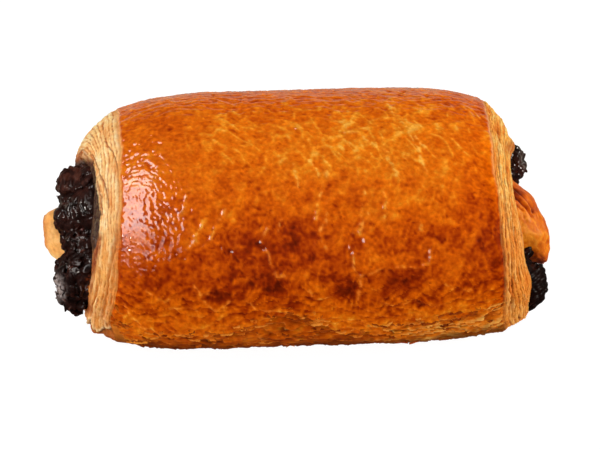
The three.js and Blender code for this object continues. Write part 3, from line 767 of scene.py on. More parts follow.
        # a thin chocolate film on the rim by the chocolate, and partly a painted shadow of the gap there
        choc_film_and_shade = soft(side, -0.7, 0.5) * seen * soft(s + 0.08 * noise(w / 2.4, s * 7, 0, seed + 27), 0.34, 0.44) * soft(py, 156, 164) * soft(-py, -262, -246)
        d, _ = line_distance(px + jag, py, [(101, 236), (97, 252), (93, 264), (88, 277), (89, 292), (92, 306)])
        colour = tint(colour, (160, 74, 26), 0.95 * np.exp(-((d / 4.8) ** 2)) * seen * soft(s, 0.3, 0.6))
        colour = tint(colour, (120, 44, 12), 0.8 * np.exp(-((d / 2.6) ** 2)) * seen * soft(s, 0.3, 0.5) * soft(noise(w / 1.2, s * 9, 0, seed + 34), -0.3, 0.3))
        # dark band: chocolate film, partly painted shadow
        colour = tint(colour, (48, 22, 15), choc_film_and_shade * (0.93 + 0.06 * soft(noise(w / 1.1, s * 11, 0, seed + 28), -0.3, 0.3)))
        d, _ = line_distance(px + 1.5 * jag, py + jag, [(79, 157), (84, 152), (89, 152), (92, 160)])
        burnt = np.exp(-((d / 3.4) ** 2)) * seen * soft(s, 0.7, 0.9)
        colour = tint(colour, (150, 62, 20), 0.9 * burnt * soft(noise(w / 0.9, s * 14, 0, seed + 23), -0.6, 0.1))
    wrapped = ramp(0.5 + 0.5 * fbm(w / 5, s * 5, 0, 2, seed + 18) + 0.25 * noise(w / 1.4, s * 16, 0, seed + 29),
                   [(0, (146, 62, 8)), (0.6, (196, 102, 26)), (1, (226, 142, 56))])
    colour = mix(colour, wrapped, smooth[..., None])
    if left:
        # painted shadow just under the hanging layer ends, and a painted highlight along their edges
        colour = tint(colour, (104, 44, 8), 0.85 * np.exp(-(((inside - 1.0) / 1.1) ** 2)) * soft(w, 14, 22) * seen)
        colour = tint(colour, (255, 226, 170), 0.6 * np.exp(-(((inside + 1.1) / 0.9) ** 2)) * soft(w, 14, 22) * seen)
    bottom, _, _ = underside_tone(base[..., 0], base[..., 1])
    facing_down = soft(-n[..., 2] + 0.12 * noise(w / 1.4, s * 9, 0, seed + 32), 0.45, 0.75) * soft(1.15 - s, 0, 0.2)
    colour = mix(colour, bottom, (0.95 * facing_down)[..., None])
    gloss = np.clip(0.12 * toast + 0.3 * choc_film_and_shade + 0.35 * smooth + shade * chocolatey, 0, 1)
    # close the middle of the core with one point
    tip = p[-1].mean(0)
    points = np.concatenate([p.reshape(-1, 3), tip[None]])
    colours = np.concatenate([colour.reshape(-1, 3), colour[-1].mean(0)[None]])
    glosses = np.concatenate([gloss.ravel(), [gloss[-1].mean()]])
    rows = len(p)
    flip = left
    faces = [tuple(q) for q in grid_faces(rows, COLS, flip)]
    last = (rows - 1) * COLS
    for j in range(COLS):
        a, b = last + j, last + (j + 1) % COLS
        faces.append((a, b, len(points) - 1) if not flip else (b, a, len(points) - 1))
    return add_mesh(name, points, faces, colours, [("gloss", glosses)])


# ------------------------------------------------------------------ lofted pieces
def smooth_stations(stations, step_end, step_mid, middle):
    """Fine rings along a lofted piece: centre y and z, half sizes, evenly along its profile."""
    st = np.array(stations, float)
    k = np.arange(len(st))
    fine = []
    for i in range(len(st) - 1):
        q = [st[max(i - 1, 0)], st[i], st[i + 1], st[min(i + 2, len(st) - 1)]]
        for t in np.linspace(0, 1, 60, endpoint=False):
            v = 0.5 * (2 * q[1] + (q[2] - q[0]) * t + (2 * q[0] - 5 * q[1] + 4 * q[2] - q[3]) * t * t
                       + (3 * q[1] - q[0] - 3 * q[2] + q[3]) * t ** 3)
            # round the tips off: half sizes grow as on a ball
            if i == 0 and st[0][3] == 0:
                v[3:] = st[1][3:] * math.sqrt(max(0.0, 1 - (1 - t) ** 2))
            if i == len(st) - 2 and st[-1][3] == 0:
                v[3:] = st[-2][3:] * math.sqrt(max(0.0, 1 - t * t))
            fine.append(v)
    fine.append(st[-1])
    fine = np.array(fine)
    fine[:, 3:] = np.maximum(fine[:, 3:], 0.02)
    run = np.hypot(np.diff(fine[:, 0]), np.diff(0.5 * (fine[:, 3] + fine[:, 4])))
    mid = 0.5 * (fine[1:, 0] + fine[:-1, 0])
    step = np.where((mid > middle[0]) & (mid < middle[1]), step_mid, step_end)
    count = np.concatenate([[0], np.cumsum(run / step)])
    n = int(round(count[-1]))
    at = np.linspace(0, count[-1], n + 1)
    return np.stack([np.interp(at, count, fine[:, c]) for c in range(5)], -1)


def loft_base(rings, cols, section):
    a = np.arange(cols) / cols * 2 * math.pi
    c, s = power(np.cos(a), 2 / section), power(np.sin(a), 2 / section)
    x = np.broadcast_to(rings[:, 0:1], (len(rings), cols))
    y = rings[:, 1:2] + rings[:, 3:4] * c
    z = rings[:, 2:3] + rings[:, 4:5] * s
    return np.stack([x, y, z], -1)


def closed_loft(name, p, colour, floats):
    """A mesh from a grid whose first and last rows shrink to a point."""
    rows, cols = p.shape[:2]
    body = p[1:-1].reshape(-1, 3)
    tips = np.stack([p[0].mean(0), p[-1].mean(0)])
    points = np.concatenate([body, tips])
    pick = lambda v: np.concatenate([v[1:-1].reshape((-1,) + v.shape[2:]), v[0].mean(0)[None], v[-1].mean(0)[None]])
    faces = [tuple(q) for q in grid_faces(rows - 2, cols, False)]
    n = len(body)
    for j in range(cols):
        k = (j + 1) % cols
        faces.append((n, k, j))
        a, b = (rows - 3) * cols + j, (rows - 3) * cols + k
        faces.append((a, b, n + 1))
    return add_mesh(name, points, faces, pick(colour), [(key, pick(v)) for key, v in floats])


def surface_of(field, origin, step):
    """Closed quads round the part of a sampled field that is below zero."""
    inside = field < 0
    shape = tuple(n - 1 for n in field.shape)
    where, count = np.zeros(shape + (3,)), np.zeros(shape)
    for axis in range(3):
        others = [a for a in range(3) if a != axis]
        for da in (0, 1):
            for db in (0, 1):
                off = [0, 0, 0]
                off[others[0]], off[others[1]] = da, db
                lo = tuple(slice(off[a], off[a] + shape[a]) for a in range(3))
                off1 = [o + (a == axis) for a, o in enumerate(off)]
                hi = tuple(slice(off1[a], off1[a] + shape[a]) for a in range(3))
                a, b = field[lo], field[hi]
                m = (a < 0) != (b < 0)
                t = np.where(m, a / np.where(m, a - b, 1.0), 0.0)
                for k in range(3):
                    where[..., k] += m * (off[k] + (t if k == axis else 0.0))
                count += m
    active = count > 0
    index = np.full(shape, -1)
    index[active] = np.arange(active.sum())
    points = np.array(origin) + step * (np.argwhere(active) + where[active] / count[active][:, None])
    quads = []
    plans = ((0, ((0, 0), (1, 0), (1, 1), (0, 1)), (1, 2)), (1, ((0, 0), (0, 1), (1, 1), (1, 0)), (0, 2)),
             (2, ((0, 0), (1, 0), (1, 1), (0, 1)), (0, 1)))
    for axis, order, others in plans:
        lo, hi = [slice(1, -1)] * 3, [slice(1, -1)] * 3
        lo[axis], hi[axis] = slice(0, -1), slice(1, None)
        a, b = inside[tuple(lo)], inside[tuple(hi)]
        corner = []
        for u, v in order:
            pick = [slice(None)] * 3
            pick[others[0]] = slice(u, shape[others[0]] - 1 + u)
            pick[others[1]] = slice(v, shape[others[1]] - 1 + v)
            corner.append(index[tuple(pick)])
        q = np.stack(corner, -1)
        quads += [q[a & ~b], q[b & ~a][:, ::-1]]
    return points, np.concatenate(quads)


def largest(points, quads):
    """Only the biggest connected surface."""
    label = np.arange(len(points))
    a = quads.ravel()
    b = np.roll(quads, -1, 1).ravel()
    while True:
        low = np.minimum(label[a], label[b])
        new = label.copy()
        np.minimum.at(new, a, low)
        np.minimum.at(new, b, low)
        new = new[new]
        if (new == label).all():
            break
        label = new
    names, counts = np.unique(label, return_counts=True)
    keep = label == names[counts.argmax()]
    index = np.cumsum(keep) - 1
    return points[keep], index[quads[keep[quads[:, 0]]]]


def soft_join(a, b, k):
    t = np.clip(0.5 + 0.5 * (b - a) / k, 0, 1)
    return mix(b, a, t) - k * t * (1 - t)


def ball(g, centre, radii):
    """Distance to an ellipsoid, near enough."""
    d = (g - np.array(centre)) / np.array(radii)
    r = np.linalg.norm(d, axis=-1)
    s = np.linalg.norm(d / np.array(radii), axis=-1)
    return r * (r - 1) / np.maximum(s, 1e-6)


def chocolate_lump(balls, seed, shards, beads, step=0.26, creases=(), bead_size=3.0, facets=0.0, stretch=(1, 1, 1), braid=0.0):
    """One swollen chocolate end: a few joined balls, broken into beads and sharp shards."""
    rng = np.random.RandomState(seed)
    lo = np.min([np.array(c) - np.array(r) for c, r in balls], 0) - 1.9
    hi = np.max([np.array(c) + np.array(r) for c, r in balls], 0) + 1.9
    n = np.ceil((hi - lo) / step).astype(int) + 1
    axes = [lo[a] + step * np.arange(n[a]) for a in range(3)]
    g = np.stack(np.meshgrid(*axes, indexing="ij"), -1)
    x, y, z = (g[..., a] for a in range(3))
    f = None
    for centre, radii in balls:
        b = ball(g, centre, radii)
        f = b if f is None else soft_join(f, b, 1.0)
    near = np.abs(f) < 2.6
    gx, gy, gz = x[near], y[near], z[near]
    wx, wy, wz = (0.9 * noise(gx / 3, gy / 3, gz / 3, seed + i) for i in range(3))
    rough = np.zeros(gx.shape)
    kx, ky, kz = (bead_size * v for v in stretch)
    d1, d2, cr, way = cells((gx + wx) / kx, (gy + wy) / ky, (gz + wz) / kz, seed + 3)
    rough += beads * (1.9 * (d1 - 0.42) + 0.5 * np.exp(-(((d2 - d1) / 0.12) ** 2)) + 0.3 * cr[..., 0])
    t1, t2, tr, tway = cells((gx + wx) / 2.1, (gy + wy) / 2.1, (gz + wz) / 2.1, seed + 8)
    rough += facets * ((tway * tr[..., :3]).sum(-1) + 0.45 * np.exp(-(((t2 - t1) / 0.1) ** 2)))
    rough += 0.45 * noise(gx / 4.5, gy / 4.5, gz / 4.5, seed + 4)
    e1, e2, er, _ = cells((gx + 0.4 * wx) / 1.25, gy / 1.25, (gz + 0.4 * wz) / 1.25, seed + 5)
    crumb = soft(noise(gx / 4, gy / 4, gz / 4, seed + 6), -0.2, 0.3)
    rough += 0.22 * (e1 - 0.4) * crumb + 0.08 * er[..., 1] * crumb
    rough += 0.02 * noise(gx / 0.6, gy / 0.6, gz / 0.6, seed + 7)
    p = np.stack([gx, gy, gz], -1)
    px, py = to_pixels(p)
    rough += braid * (np.abs(np.sin((0.55 * px + 0.84 * py) * 0.55 + 1.6 * wx)) - 0.6) * -1.0
    for points, half, deep in creases:
        d, _ = line_distance(px + wx, py + wy, points)
        rough += deep * np.exp(-((d / half) ** 2))
    f[near] += rough
    # shards lie scattered over the skin at all angles
    skin = np.argwhere(np.abs(f) < 0.3)
    pick = skin[rng.choice(len(skin), shards, replace=False)]
    shard_id = np.zeros(f.shape)
    slope = np.stack(np.gradient(f), -1)
    for i, j, k in pick:
        centre = np.array([axes[0][i], axes[1][j], axes[2][k]]) + rng.normal(0, 0.1, 3)
        half = np.array([rng.uniform(0.4, 1.05), rng.uniform(0.3, 0.65), rng.uniform(0.15, 0.28)])
        up = slope[i, j, k] / max(np.linalg.norm(slope[i, j, k]), 1e-6) + rng.normal(0, 0.24, 3)
        q, _ = np.linalg.qr(np.stack([up, rng.normal(size=3), rng.normal(size=3)], -1))
        q = q[:, [1, 2, 0]]
        reach = int(np.ceil((np.linalg.norm(half) + 0.3) / step))
        box = tuple(slice(max(0, c - reach), min(n[a], c + reach + 1)) for a, c in enumerate((i, j, k)))
        local = (g[box] - centre) @ q
        d = np.abs(local) - half + 0.12
        dist = np.linalg.norm(np.maximum(d, 0), axis=-1) + np.minimum(d.max(-1), 0) - 0.12
        closer = dist < f[box]
        shard_id[box] = np.where(closer, rng.uniform(0.2, 1), shard_id[box])
        f[box] = np.minimum(f[box], dist)
    for a in range(3):  # nothing reaches the walls of the sampled box
        edge = [slice(None)] * 3
        for e in (0, -1):
            edge[a] = e
            f[tuple(edge)] = np.maximum(f[tuple(edge)], 0.5)
    points, quads = largest(*surface_of(f, lo, step))
    at = np.clip(np.round((points - lo) / step).astype(int), 0, n - 1)
    return points, quads, shard_id[at[:, 0], at[:, 1], at[:, 2]]


def make_chocolate(stations, name, seed, lumps):
    """The bar inside the dough and its two swollen ends."""
    rings = smooth_stations(stations, 1.0, 2.5, (-43.0, 44.0))
    rings = rings[(rings[:, 0] > -44.0) & (rings[:, 0] < 46.0)]
    rings[:, 3:] -= 1.0
    rings = np.concatenate([rings[:1] * [1, 1, 1, 0.02, 0.02], rings, rings[-1:] * [1, 1, 1, 0.02, 0.02]])
    bar = loft_base(rings, 32, 2.4)
    points = [bar.reshape(-1, 3)]
    faces = [tuple(q) for q in grid_faces(len(rings), 32, False)]
    faces.append(tuple(range(32)))
    faces.append(tuple(len(rings) * 32 - 1 - k for k in range(32)))
    shard = [np.zeros(len(points[0]))]
    start = len(points[0])
    for i, lump in enumerate(lumps):
        p, q, s = chocolate_lump(seed=seed + 40 * i, **lump)
        points.append(p)
        shard.append(s)
        faces += [tuple(v) for v in (q + start)]
        start += len(p)
    p, shard = np.concatenate(points), np.concatenate(shard)
    if name == "chocolate_near":  # it swelled up against the lobe
        px, py = to_pixels(p)
        p = p + (spot(px, py, 542, 269, 9, 9) * (p[:, 0] > 40))[:, None] * (1.2 * ACROSS + 1.7 * UPWARD)
    p[:, 0] = np.clip(p[:, 0], -59.7, 60.0)
    x, y, z = p.T
    px, py = to_pixels(p)
    dark = soft(fbm(x / 2.6, y / 2.6, z / 2.6, 3, seed + 5), -0.45, 0.45)
    # a paler, dull patch on the upper left lump: partly its dry surface, partly a painted sheen
    matt_pale_sheen = spot(px, py, 70, 177, 17, 14) * (x < 0)
    colour = ramp(0.5 * dark + 0.4 * shard + 0.4 * matt_pale_sheen, [(0, (10, 2, 1)), (0.5, (38, 14, 9)), (1, (98, 54, 41))])
    if name == "chocolate_near":
        colour = tint(colour, (10, 3, 2), 0.6 * (x > 0))
    else:
        colour = tint(colour, (84, 46, 36), 0.3 * dark * (x > 0))
    red = soft(noise(x / 2.6, y / 2.6, z / 2.6, seed + 12), 0.3, 0.62)
    colour = tint(colour, (66, 28, 18), 0.4 * red)
    wet = soft(noise(x / 3.4, y / 3.4, z / 3.4, seed + 13), -0.45, 0.2)
    wet = np.maximum(wet * (0.55 + 0.45 * shard), 0.95 * spot(px, py, 72, 208, 16, 11) * (x < 0))
    wet = np.maximum(wet, 0.8 * (x > 0)) * (1 - 0.72 * (x > 0) * (name == "chocolate_near"))
    wet *= 1 - 0.75 * spot(px, py, 72, 176, 15, 13) * (x < 0)
    bloom = np.zeros_like(x)
    if name == "chocolate_near":
        for cx, cy, rx, ry in ((58.5, 289, 5, 9), (55, 279, 4, 5), (62, 296, 3, 4)):
            bloom = np.maximum(bloom, spot(px, py, cx, cy, rx, ry) * (x < 0))
        bloom *= soft(noise(x / 1.2, y / 1.2, z / 1.2, seed + 14), -0.5, 0.1)
        colour = tint(colour, (196, 178, 170), 0.85 * bloom)
    torn = soft(noise(x / 0.9, y / 0.9, z / 0.9, seed + 15), -0.1, 0.25) * (x < -40)
    for cx, cy, r, amt, rgb in ((81, 231, 2.6, 0.7, (128, 36, 12)), (90, 279, 2.8, 0.9, (190, 88, 34)),
                                (89, 288, 2.4, 0.8, (176, 84, 34)), (89, 158, 3.0, 0.8, (150, 66, 24))):
        colour = tint(colour, rgb, amt * spot(px, py, cx, cy, r, r) * torn)
    far_right = (x > 0) * (name == "chocolate_far")
    gloss = np.clip((0.03 + 0.9 * wet ** 1.6) * (1 + 0.5 * far_right) - bloom, 0, 1)
    return add_mesh(name, p, faces, colour, [("gloss", gloss)])


LUMPS_FAR = (
    dict(balls=(((-51.2, 7.0, 23.2), (5.2, 5.2, 5.4)), ((-51.7, -1.0, 20.8), (5.2, 4.7, 5.0)),
                ((-49.0, 3.4, 18.6), (6.4, 7.4, 6.6)), ((-52.4, 5.4, 18.6), (3.4, 5.0, 6.0)),
                ((-46.8, 3.2, 22.4), (6.6, 10.0, 8.4))),
         shards=0, beads=0.34, bead_size=4.2, facets=0.3,
         creases=(([(55, 192), (64, 196), (76, 193), (86, 187), (95, 180)], 1.8, 0.75),
                  ([(66, 164), (70, 174), (66, 186)], 1.2, 0.5), ([(80, 165), (78, 178), (84, 190)], 1.2, 0.5),
                  ([(66, 201), (65, 207), (66, 214)], 0.8, 0.26), ([(71, 199), (71, 208), (72, 217)], 0.8, 0.26),
                  ([(77, 200), (76, 208), (78, 216)], 0.8, 0.26), ([(83, 200), (82, 207), (85, 215)], 0.8, 0.26))),
    dict(balls=(((51.2, 10.6, 22.4), (4.7, 5.4, 5.5)), ((46.6, 10.4, 21.6), (5.6, 5.4, 5.2))),
         shards=0, beads=0.62, bead_size=2.1, stretch=(1.2, 1.0, 0.8)),
)
LUMPS_NEAR = (
    dict(balls=(((-50.0, -6.4, 19.2), (5.2, 5.0, 4.4)), ((-51.2, -14.4, 16.4), (5.6, 6.8, 6.4)),
                ((-52.0, -16.8, 12.6), (4.2, 4.6, 5.1)), ((-47.4, -12.6, 17.0), (6.6, 9.4, 7.6))),
         shards=90, beads=0.45, bead_size=3.6, facets=0.95,
         creases=(([(52, 226), (64, 227), (80, 222), (98, 220)], 2.4, 0.8),)),
    dict(balls=(((52.9, -19.5, 13.0), (5.9, 5.9, 5.8)), ((50.0, -17.6, 15.6), (5.8, 6.4, 6.4)),
                ((54.2, -12.0, 18.0), (1.8, 2.3, 2.3)), ((53.2, -9.4, 19.4), (1.7, 2.1, 2.1))),
         shards=0, beads=0.3, bead_size=2.6, braid=0.34),
)


def make_lobe_left():
    rings = smooth_stations(LOBE_LEFT, 0.3, 0.6, (-48.0, -40.0))
    base = loft_base(rings, 150, 2.0)
    n = normals(base)
    if n[len(n) // 2, 0] @ np.array([0, 1, 0]) < 0:
        n = -n
    x, y, z = (base[..., i] for i in range(3))
    px, py = to_pixels(base)
    angle = np.arctan2(z - 12.6, y)
    q = (-x - 44) / 2.3 + 0.5 * noise(angle * 2, x / 6, 0, 300) + 0.2 * noise(angle * 6, x / 2, 0, 301)
    f = q - np.floor(q)
    g = np.exp(-((np.minimum(f, 1 - f) / 0.14) ** 2)) * soft(noise(angle * 4, np.round(q) * 3.1, 0, 302), -0.4, 0.2)
    h = 0.5 * noise(y / 6, z / 6, x / 6, 303) + 0.22 * noise(y / 2.4, z / 2.4, x / 2.4, 304)
    h += -0.12 * g + 0.05 * noise(y / 0.9, z / 0.9, x / 0.9, 305)
    p = base + n * h[..., None] + np.array([0.0, 1.1, 1.1])
    colour = ramp(0.5 + 0.5 * fbm(y / 3, z / 3, x / 2, 3, 306), [(0, (240, 150, 66)), (0.5, (255, 184, 100)), (1, (255, 210, 142))])
    colour = tint(colour, (214, 128, 56), 0.4 * g)
    outer = soft(-x, 57.9, 59.6)
    colour = tint(colour, (214, 120, 48), 0.75 * outer)
    smear = soft(np.sin(angle) + 0.3 * noise(y / 2, z / 2, x / 2, 307), 0.45, 0.8) * soft(x, -58.4, -56)
    colour = tint(colour, (120, 60, 28), 0.35 * smear)
    colour = tint(colour, (170, 90, 34), 0.6 * soft(-np.sin(angle), 0.5, 1.0))
    return closed_loft("lobe_left", p, colour, [("gloss", 0.15 + 0.4 * smear)])


# Folds of the right lobe: points in pixels, half width, depth in mm.
LOBE_FOLDS = [
    ([(510, 184), (518, 191), (527, 196), (534, 202), (540, 212)], 1.3, -0.75),
    ([(512, 197), (522, 200), (532, 207), (539, 217)], 1.2, -0.6),
    ([(513, 205), (520, 206), (528, 210)], 1.0, -0.4),
    ([(511, 190), (520, 195), (530, 201), (537, 209)], 2.2, 0.45),
    ([(517, 232), (524, 243), (534, 252)], 1.4, -0.1),
    ([(529, 216), (534, 228), (540, 236)], 1.3, -0.06),
    ([(538, 252), (543, 258), (547, 262)], 1.2, -0.3),
]


def make_lobe_right():
    rings = smooth_stations(LOBE_RIGHT, 0.3, 0.6, (42.0, 48.0))
    base = loft_base(rings, 210, 2.0)
    n = normals(base)
    if n[len(n) // 2, 0] @ np.array([0, 1, 0]) < 0:
        n = -n
    x, y, z = (base[..., i] for i in range(3))
    px, py = to_pixels(base)
    seen = soft(n @ BACK, -0.1, 0.1)
    h = 0.55 * noise(y / 7, z / 7, x / 7, 400) + 0.25 * noise(y / 3, z / 3, x / 3, 401)
    # wrinkles run out from the mouth
    angle = np.arctan2(z - 18.5, y + 4.6)
    h += 0.1 * (1 - np.minimum(1, 2.2 * np.abs(noise(angle * 2.4 + 0.12 * x, z / 3.4, 0, 402)))) ** 1.5 * soft(x, 49, 52)
    h += 0.05 * noise(y / 0.9, z / 0.9, x / 0.9, 403)
    fold = np.zeros_like(x)
    for points, half, deep in LOBE_FOLDS:
        d, _ = line_distance(px + 0.7 * noise(y / 2, z / 2, 0, 404), py, points)
        g = np.exp(-((d / half) ** 2)) * seen
        h += deep * g
        if deep < 0:
            fold = np.maximum(fold, g)
    p = base + n * h[..., None]
    p[..., 0] -= 1.5 * soft(z - 17.0 + 0.6 * (y + 5), 0, 7) * soft(x, 50, 56)
    p += spot(px, py, 544, 258, 10, 11)[..., None] * (1.2 * ACROSS - 2.0 * UPWARD)
    tone = 0.44 + 0.36 * fbm(y / 5, z / 5, x / 5, 3, 405) + 0.22 * noise(y / 1.3, z / 1.3, x / 1.3, 406)
    # the second spot, low beside the near chocolate, is a dark smear and partly a painted shadow
    tone += 0.5 * spot(px, py, 521, 193, 14, 7) * seen + 0.6 * spot(px, py, 539, 257, 10, 7) * seen
    tone += 0.25 * spot(px, py, 544, 205, 8, 8) * seen - 0.2 * spot(px, py, 520, 225, 8, 16) * seen
    # darker in the folds: painted shade
    tone += 0.4 * fold * soft(214 - py, -8, 6) + 0.1 * fold + 0.12 * (1 - seen)
    net = 1 - np.minimum(1, 3 * np.abs(noise(y / 2.6, z / 2.2, x / 2.6, 408)))
    tone -= 0.3 * net ** 2 * soft(py, 206, 216) * seen
    tone += 0.12 * soft(54.0 - x, 0, 4) - 0.12
    colour = ramp(tone, [(0, (248, 150, 36)), (0.3, (234, 118, 10)), (0.6, (204, 84, 4)), (0.85, (140, 46, 3)), (1.1, (84, 26, 5))])
    return closed_loft("lobe_right", p, colour, [("gloss", 0.05 + 0.06 * noise(y / 2, z / 2, x / 2, 407))])


# ------------------------------------------------------------------ loose flakes and torn tips
def make_flakes(crust_p, crust_base, crust_n):
    rng = np.random.RandomState(5)
    rows, cols = crust_p.shape[:2]
    px, py = to_pixels(crust_base)
    seen = (crust_n @ BACK) > 0.02
    _, below = line_distance(px, py, SHEET_EDGE)
    w = np.broadcast_to(W, px.shape)
    near = np.argwhere(seen & (np.abs(below) < 7.0) & (w > 25) & (w < 57))
    back = np.argwhere((w < -42) & (w > -55))
    rest = np.argwhere((w > 48) & (w < 57))
    chosen = []
    for pool, count in ((near, 150), (back, 90), (rest, 50)):
        chosen += [tuple(pool[i]) for i in rng.choice(len(pool), count, replace=False)]
    points, faces, colours = [], [], []
    for i, j in chosen:
        i = min(max(i, 4), rows - 5)
        origin, normal = crust_p[i, j], crust_n[i, j]
        along = crust_p[i + 2, j] - crust_p[i - 2, j]
        along /= np.linalg.norm(along)
        down = np.cross(normal, along)
        down /= np.linalg.norm(down)
        if down[2] > 0:
            down = -down
        spin = rng.normal() * 0.25
        e1 = along * math.cos(spin) + down * math.sin(spin)
        e2 = np.cross(normal, e1)
        if e2 @ down < 0:
            e2 = -e2
        length, width = rng.uniform(1.0, 3.8), rng.uniform(0.45, 1.25)
        lift, thick = rng.uniform(0.03, 0.32), rng.uniform(0.08, 0.14)
        nu, nv = 13, 6
        us, vs = np.linspace(-1, 1, nu), np.linspace(0, 1, nv)
        edge = 0.78 + 0.22 * rng.uniform(-1, 1, nu)
        edge = np.convolve(np.pad(edge, 1, mode="edge"), [0.2, 0.6, 0.2], "valid") + rng.normal(0, 0.06, nu)
        curl = rng.uniform(-0.1, 0.25)
        start = len(points)
        tone = rng.uniform(0, 1)
        for sheet in (1, -1):
            for a, u in enumerate(us):
                taper = math.sqrt(max(0.02, 1 - abs(u) ** 2.6))
                for v in vs:
                    rise = lift * v ** 1.3 + curl * u * u * v
                    q = (origin + e1 * u * length / 2 + e2 * (v * edge[a] * taper - 0.25) * width
                         + normal * (rise - 0.12 + sheet * thick / 2 * (1 - 0.6 * v)))
                    points.append(q)
                    colours.append(np.clip(tone + 0.3 * v - 0.1, 0, 1))
        half = nu * nv
        for a in range(nu - 1):
            for b in range(nv - 1):
                k = start + a * nv + b
                faces.append((k, k + 1, k + nv + 1, k + nv))
                k += half
                faces.append((k, k + nv, k + nv + 1, k + 1))
        ring = ([start + b for b in range(nv)] + [start + a * nv + nv - 1 for a in range(1, nu)]
                + [start + (nu - 1) * nv + b for b in range(nv - 2, -1, -1)] + [start + a * nv for a in range(nu - 2, 0, -1)])
        for a, b in zip(ring, ring[1:] + ring[:1]):
            faces.append((a, a + half, b + half, b))
    points = np.array(points)
    points[:, 2] = np.maximum(points[:, 2], 0.02)
    colour = ramp(np.array(colours), [(0, (132, 48, 4)), (0.4, (184, 80, 9)), (0.8, (220, 114, 22)), (1, (242, 150, 50))])
    return add_mesh("flakes", points, faces, colour, [("gloss", np.full(len(points), 0.1))])


# ------------------------------------------------------------------ materials
def new_material(name):
    mat = bpy.data.materials.new(name)
    mat.use_nodes = True
    nodes, links = mat.node_tree.nodes, mat.node_tree.links
    nodes.clear()
    out = nodes.new("ShaderNodeOutputMaterial")
    shader = nodes.new("ShaderNodeBsdfPrincipled")
    links.new(shader.outputs[0], out.inputs[0])
    return mat, nodes, links, shader


def noise_node(nodes, links, coords, scale, detail=3.0, rough=0.55, distortion=0.0):
    node = nodes.new("ShaderNodeTexNoise")
    node.inputs["Scale"].default_value = scale
    node.inputs["Detail"].default_value = detail
    node.inputs["Roughness"].default_value = rough
    node.inputs["Distortion"].default_value = distortion
    links.new(coords, node.inputs["Vector"])
    return node.outputs[0]


def ranged(nodes, links, value, a, b, c, d):
    node = nodes.new("ShaderNodeMapRange")
    node.inputs["From Min"].default_value, node.inputs["From Max"].default_value = a, b
    node.inputs["To Min"].default_value, node.inputs["To Max"].default_value = c, d
    links.new(value, node.inputs["Value"])
    return node.outputs[0]


def maths(nodes, links, op, a, b):
    node = nodes.new("ShaderNodeMath")
    node.operation = op
    for i, v in enumerate((a, b)):
        if isinstance(v, (int, float)):
            node.inputs[i].default_value = v
        else:
            links.new(v, node.inputs[i])
    return node.outputs[0]


def food_material(name, speck, speck_amount, grain, grain_height, rough, coat, coat_rough,
                  stretch=None, scatter=0.0, spec=0.5):
    """Vertex tones broken up by fine specks, fine grain in the bump, gloss where the piece says so."""
    mat, nodes, links, shader = new_material(name)
    place = nodes.new("ShaderNodeTexCoord").outputs["Object"]
    if stretch is not None:
        mapping = nodes.new("ShaderNodeMapping")
        mapping.inputs["Scale"].default_value = stretch
        links.new(place, mapping.inputs["Vector"])
        streak = mapping.outputs[0]
    else:
        streak = place
    tone = nodes.new("ShaderNodeAttribute")
    tone.attribute_name = "tone"
    gloss = nodes.new("ShaderNodeAttribute")
    gloss.attribute_name = "gloss"
    fine = noise_node(nodes, links, streak, speck, 4.0, 0.6)
    mottle = noise_node(nodes, links, place, speck * 0.28, 3.0, 0.6, 0.4)
    gain = maths(nodes, links, "MULTIPLY",
                 ranged(nodes, links, fine, 0.3, 0.7, 1 - speck_amount, 1 + speck_amount),
                 ranged(nodes, links, mottle, 0.3, 0.7, 1 - speck_amount * 0.7, 1 + speck_amount * 0.7))
    # a darker speck is also redder: each channel follows the gain at its own rate
    split = nodes.new("ShaderNodeSeparateColor")
    links.new(tone.outputs["Color"], split.inputs[0])
    join = nodes.new("ShaderNodeCombineColor")
    for channel, rate in enumerate((0.7, 1.15, 1.5)):
        scaled = maths(nodes, links, "POWER", gain, rate)
        value = maths(nodes, links, "MULTIPLY", split.outputs[channel], scaled)
        links.new(value, join.inputs[channel])
    links.new(join.outputs[0], shader.inputs["Base Color"])
    dull = maths(nodes, links, "MULTIPLY_ADD", fine, 0.12)
    dull.node.inputs[2].default_value = rough - 0.06
    links.new(dull, shader.inputs["Roughness"])
    shader.inputs["Specular IOR Level"].default_value = spec
    if coat > 0:
        links.new(maths(nodes, links, "MULTIPLY", gloss.outputs["Fac"], coat), shader.inputs["Coat Weight"])
        shader.inputs["Coat Roughness"].default_value = coat_rough
        shader.inputs["Coat IOR"].default_value = 1.5
    if scatter > 0:
        shader.inputs["Subsurface Weight"].default_value = scatter
        shader.inputs["Subsurface Radius"].default_value = (1.0, 0.45, 0.18)
        shader.inputs["Subsurface Scale"].default_value = 0.0012
    bump = nodes.new("ShaderNodeBump")
    bump.inputs["Strength"].default_value = 1.0
    bump.inputs["Distance"].default_value = grain_height
    grains = maths(nodes, links, "ADD", noise_node(nodes, links, streak, grain, 4.0, 0.55),
                   maths(nodes, links, "MULTIPLY", noise_node(nodes, links, place, grain * 0.35, 2.0, 0.5), 1.2))
    links.new(grains, bump.inputs["Height"])
    links.new(bump.outputs[0], shader.inputs["Normal"])
    return mat


# ------------------------------------------------------------------ light and floor
def area_light(name, place, aim, size_x, size_y, power_w, glossy=True, diffuse=True, tint_rgb=(1, 1, 1)):
    data = bpy.data.lights.new(name, "AREA")
    data.shape = "RECTANGLE"
    data.size, data.size_y = size_x, size_y
    data.energy = power_w
    data.color = tint_rgb
    obj = bpy.data.objects.new(name, data)
    obj.location = place
    direction = Vector(aim) - Vector(place)
    quat = direction.to_track_quat("-Z", "Y")
    obj.rotation_mode = "QUATERNION"
    obj.rotation_quaternion = quat
    obj.visible_glossy, obj.visible_diffuse = glossy, diffuse
    bpy.context.scene.collection.objects.link(obj)
    return obj


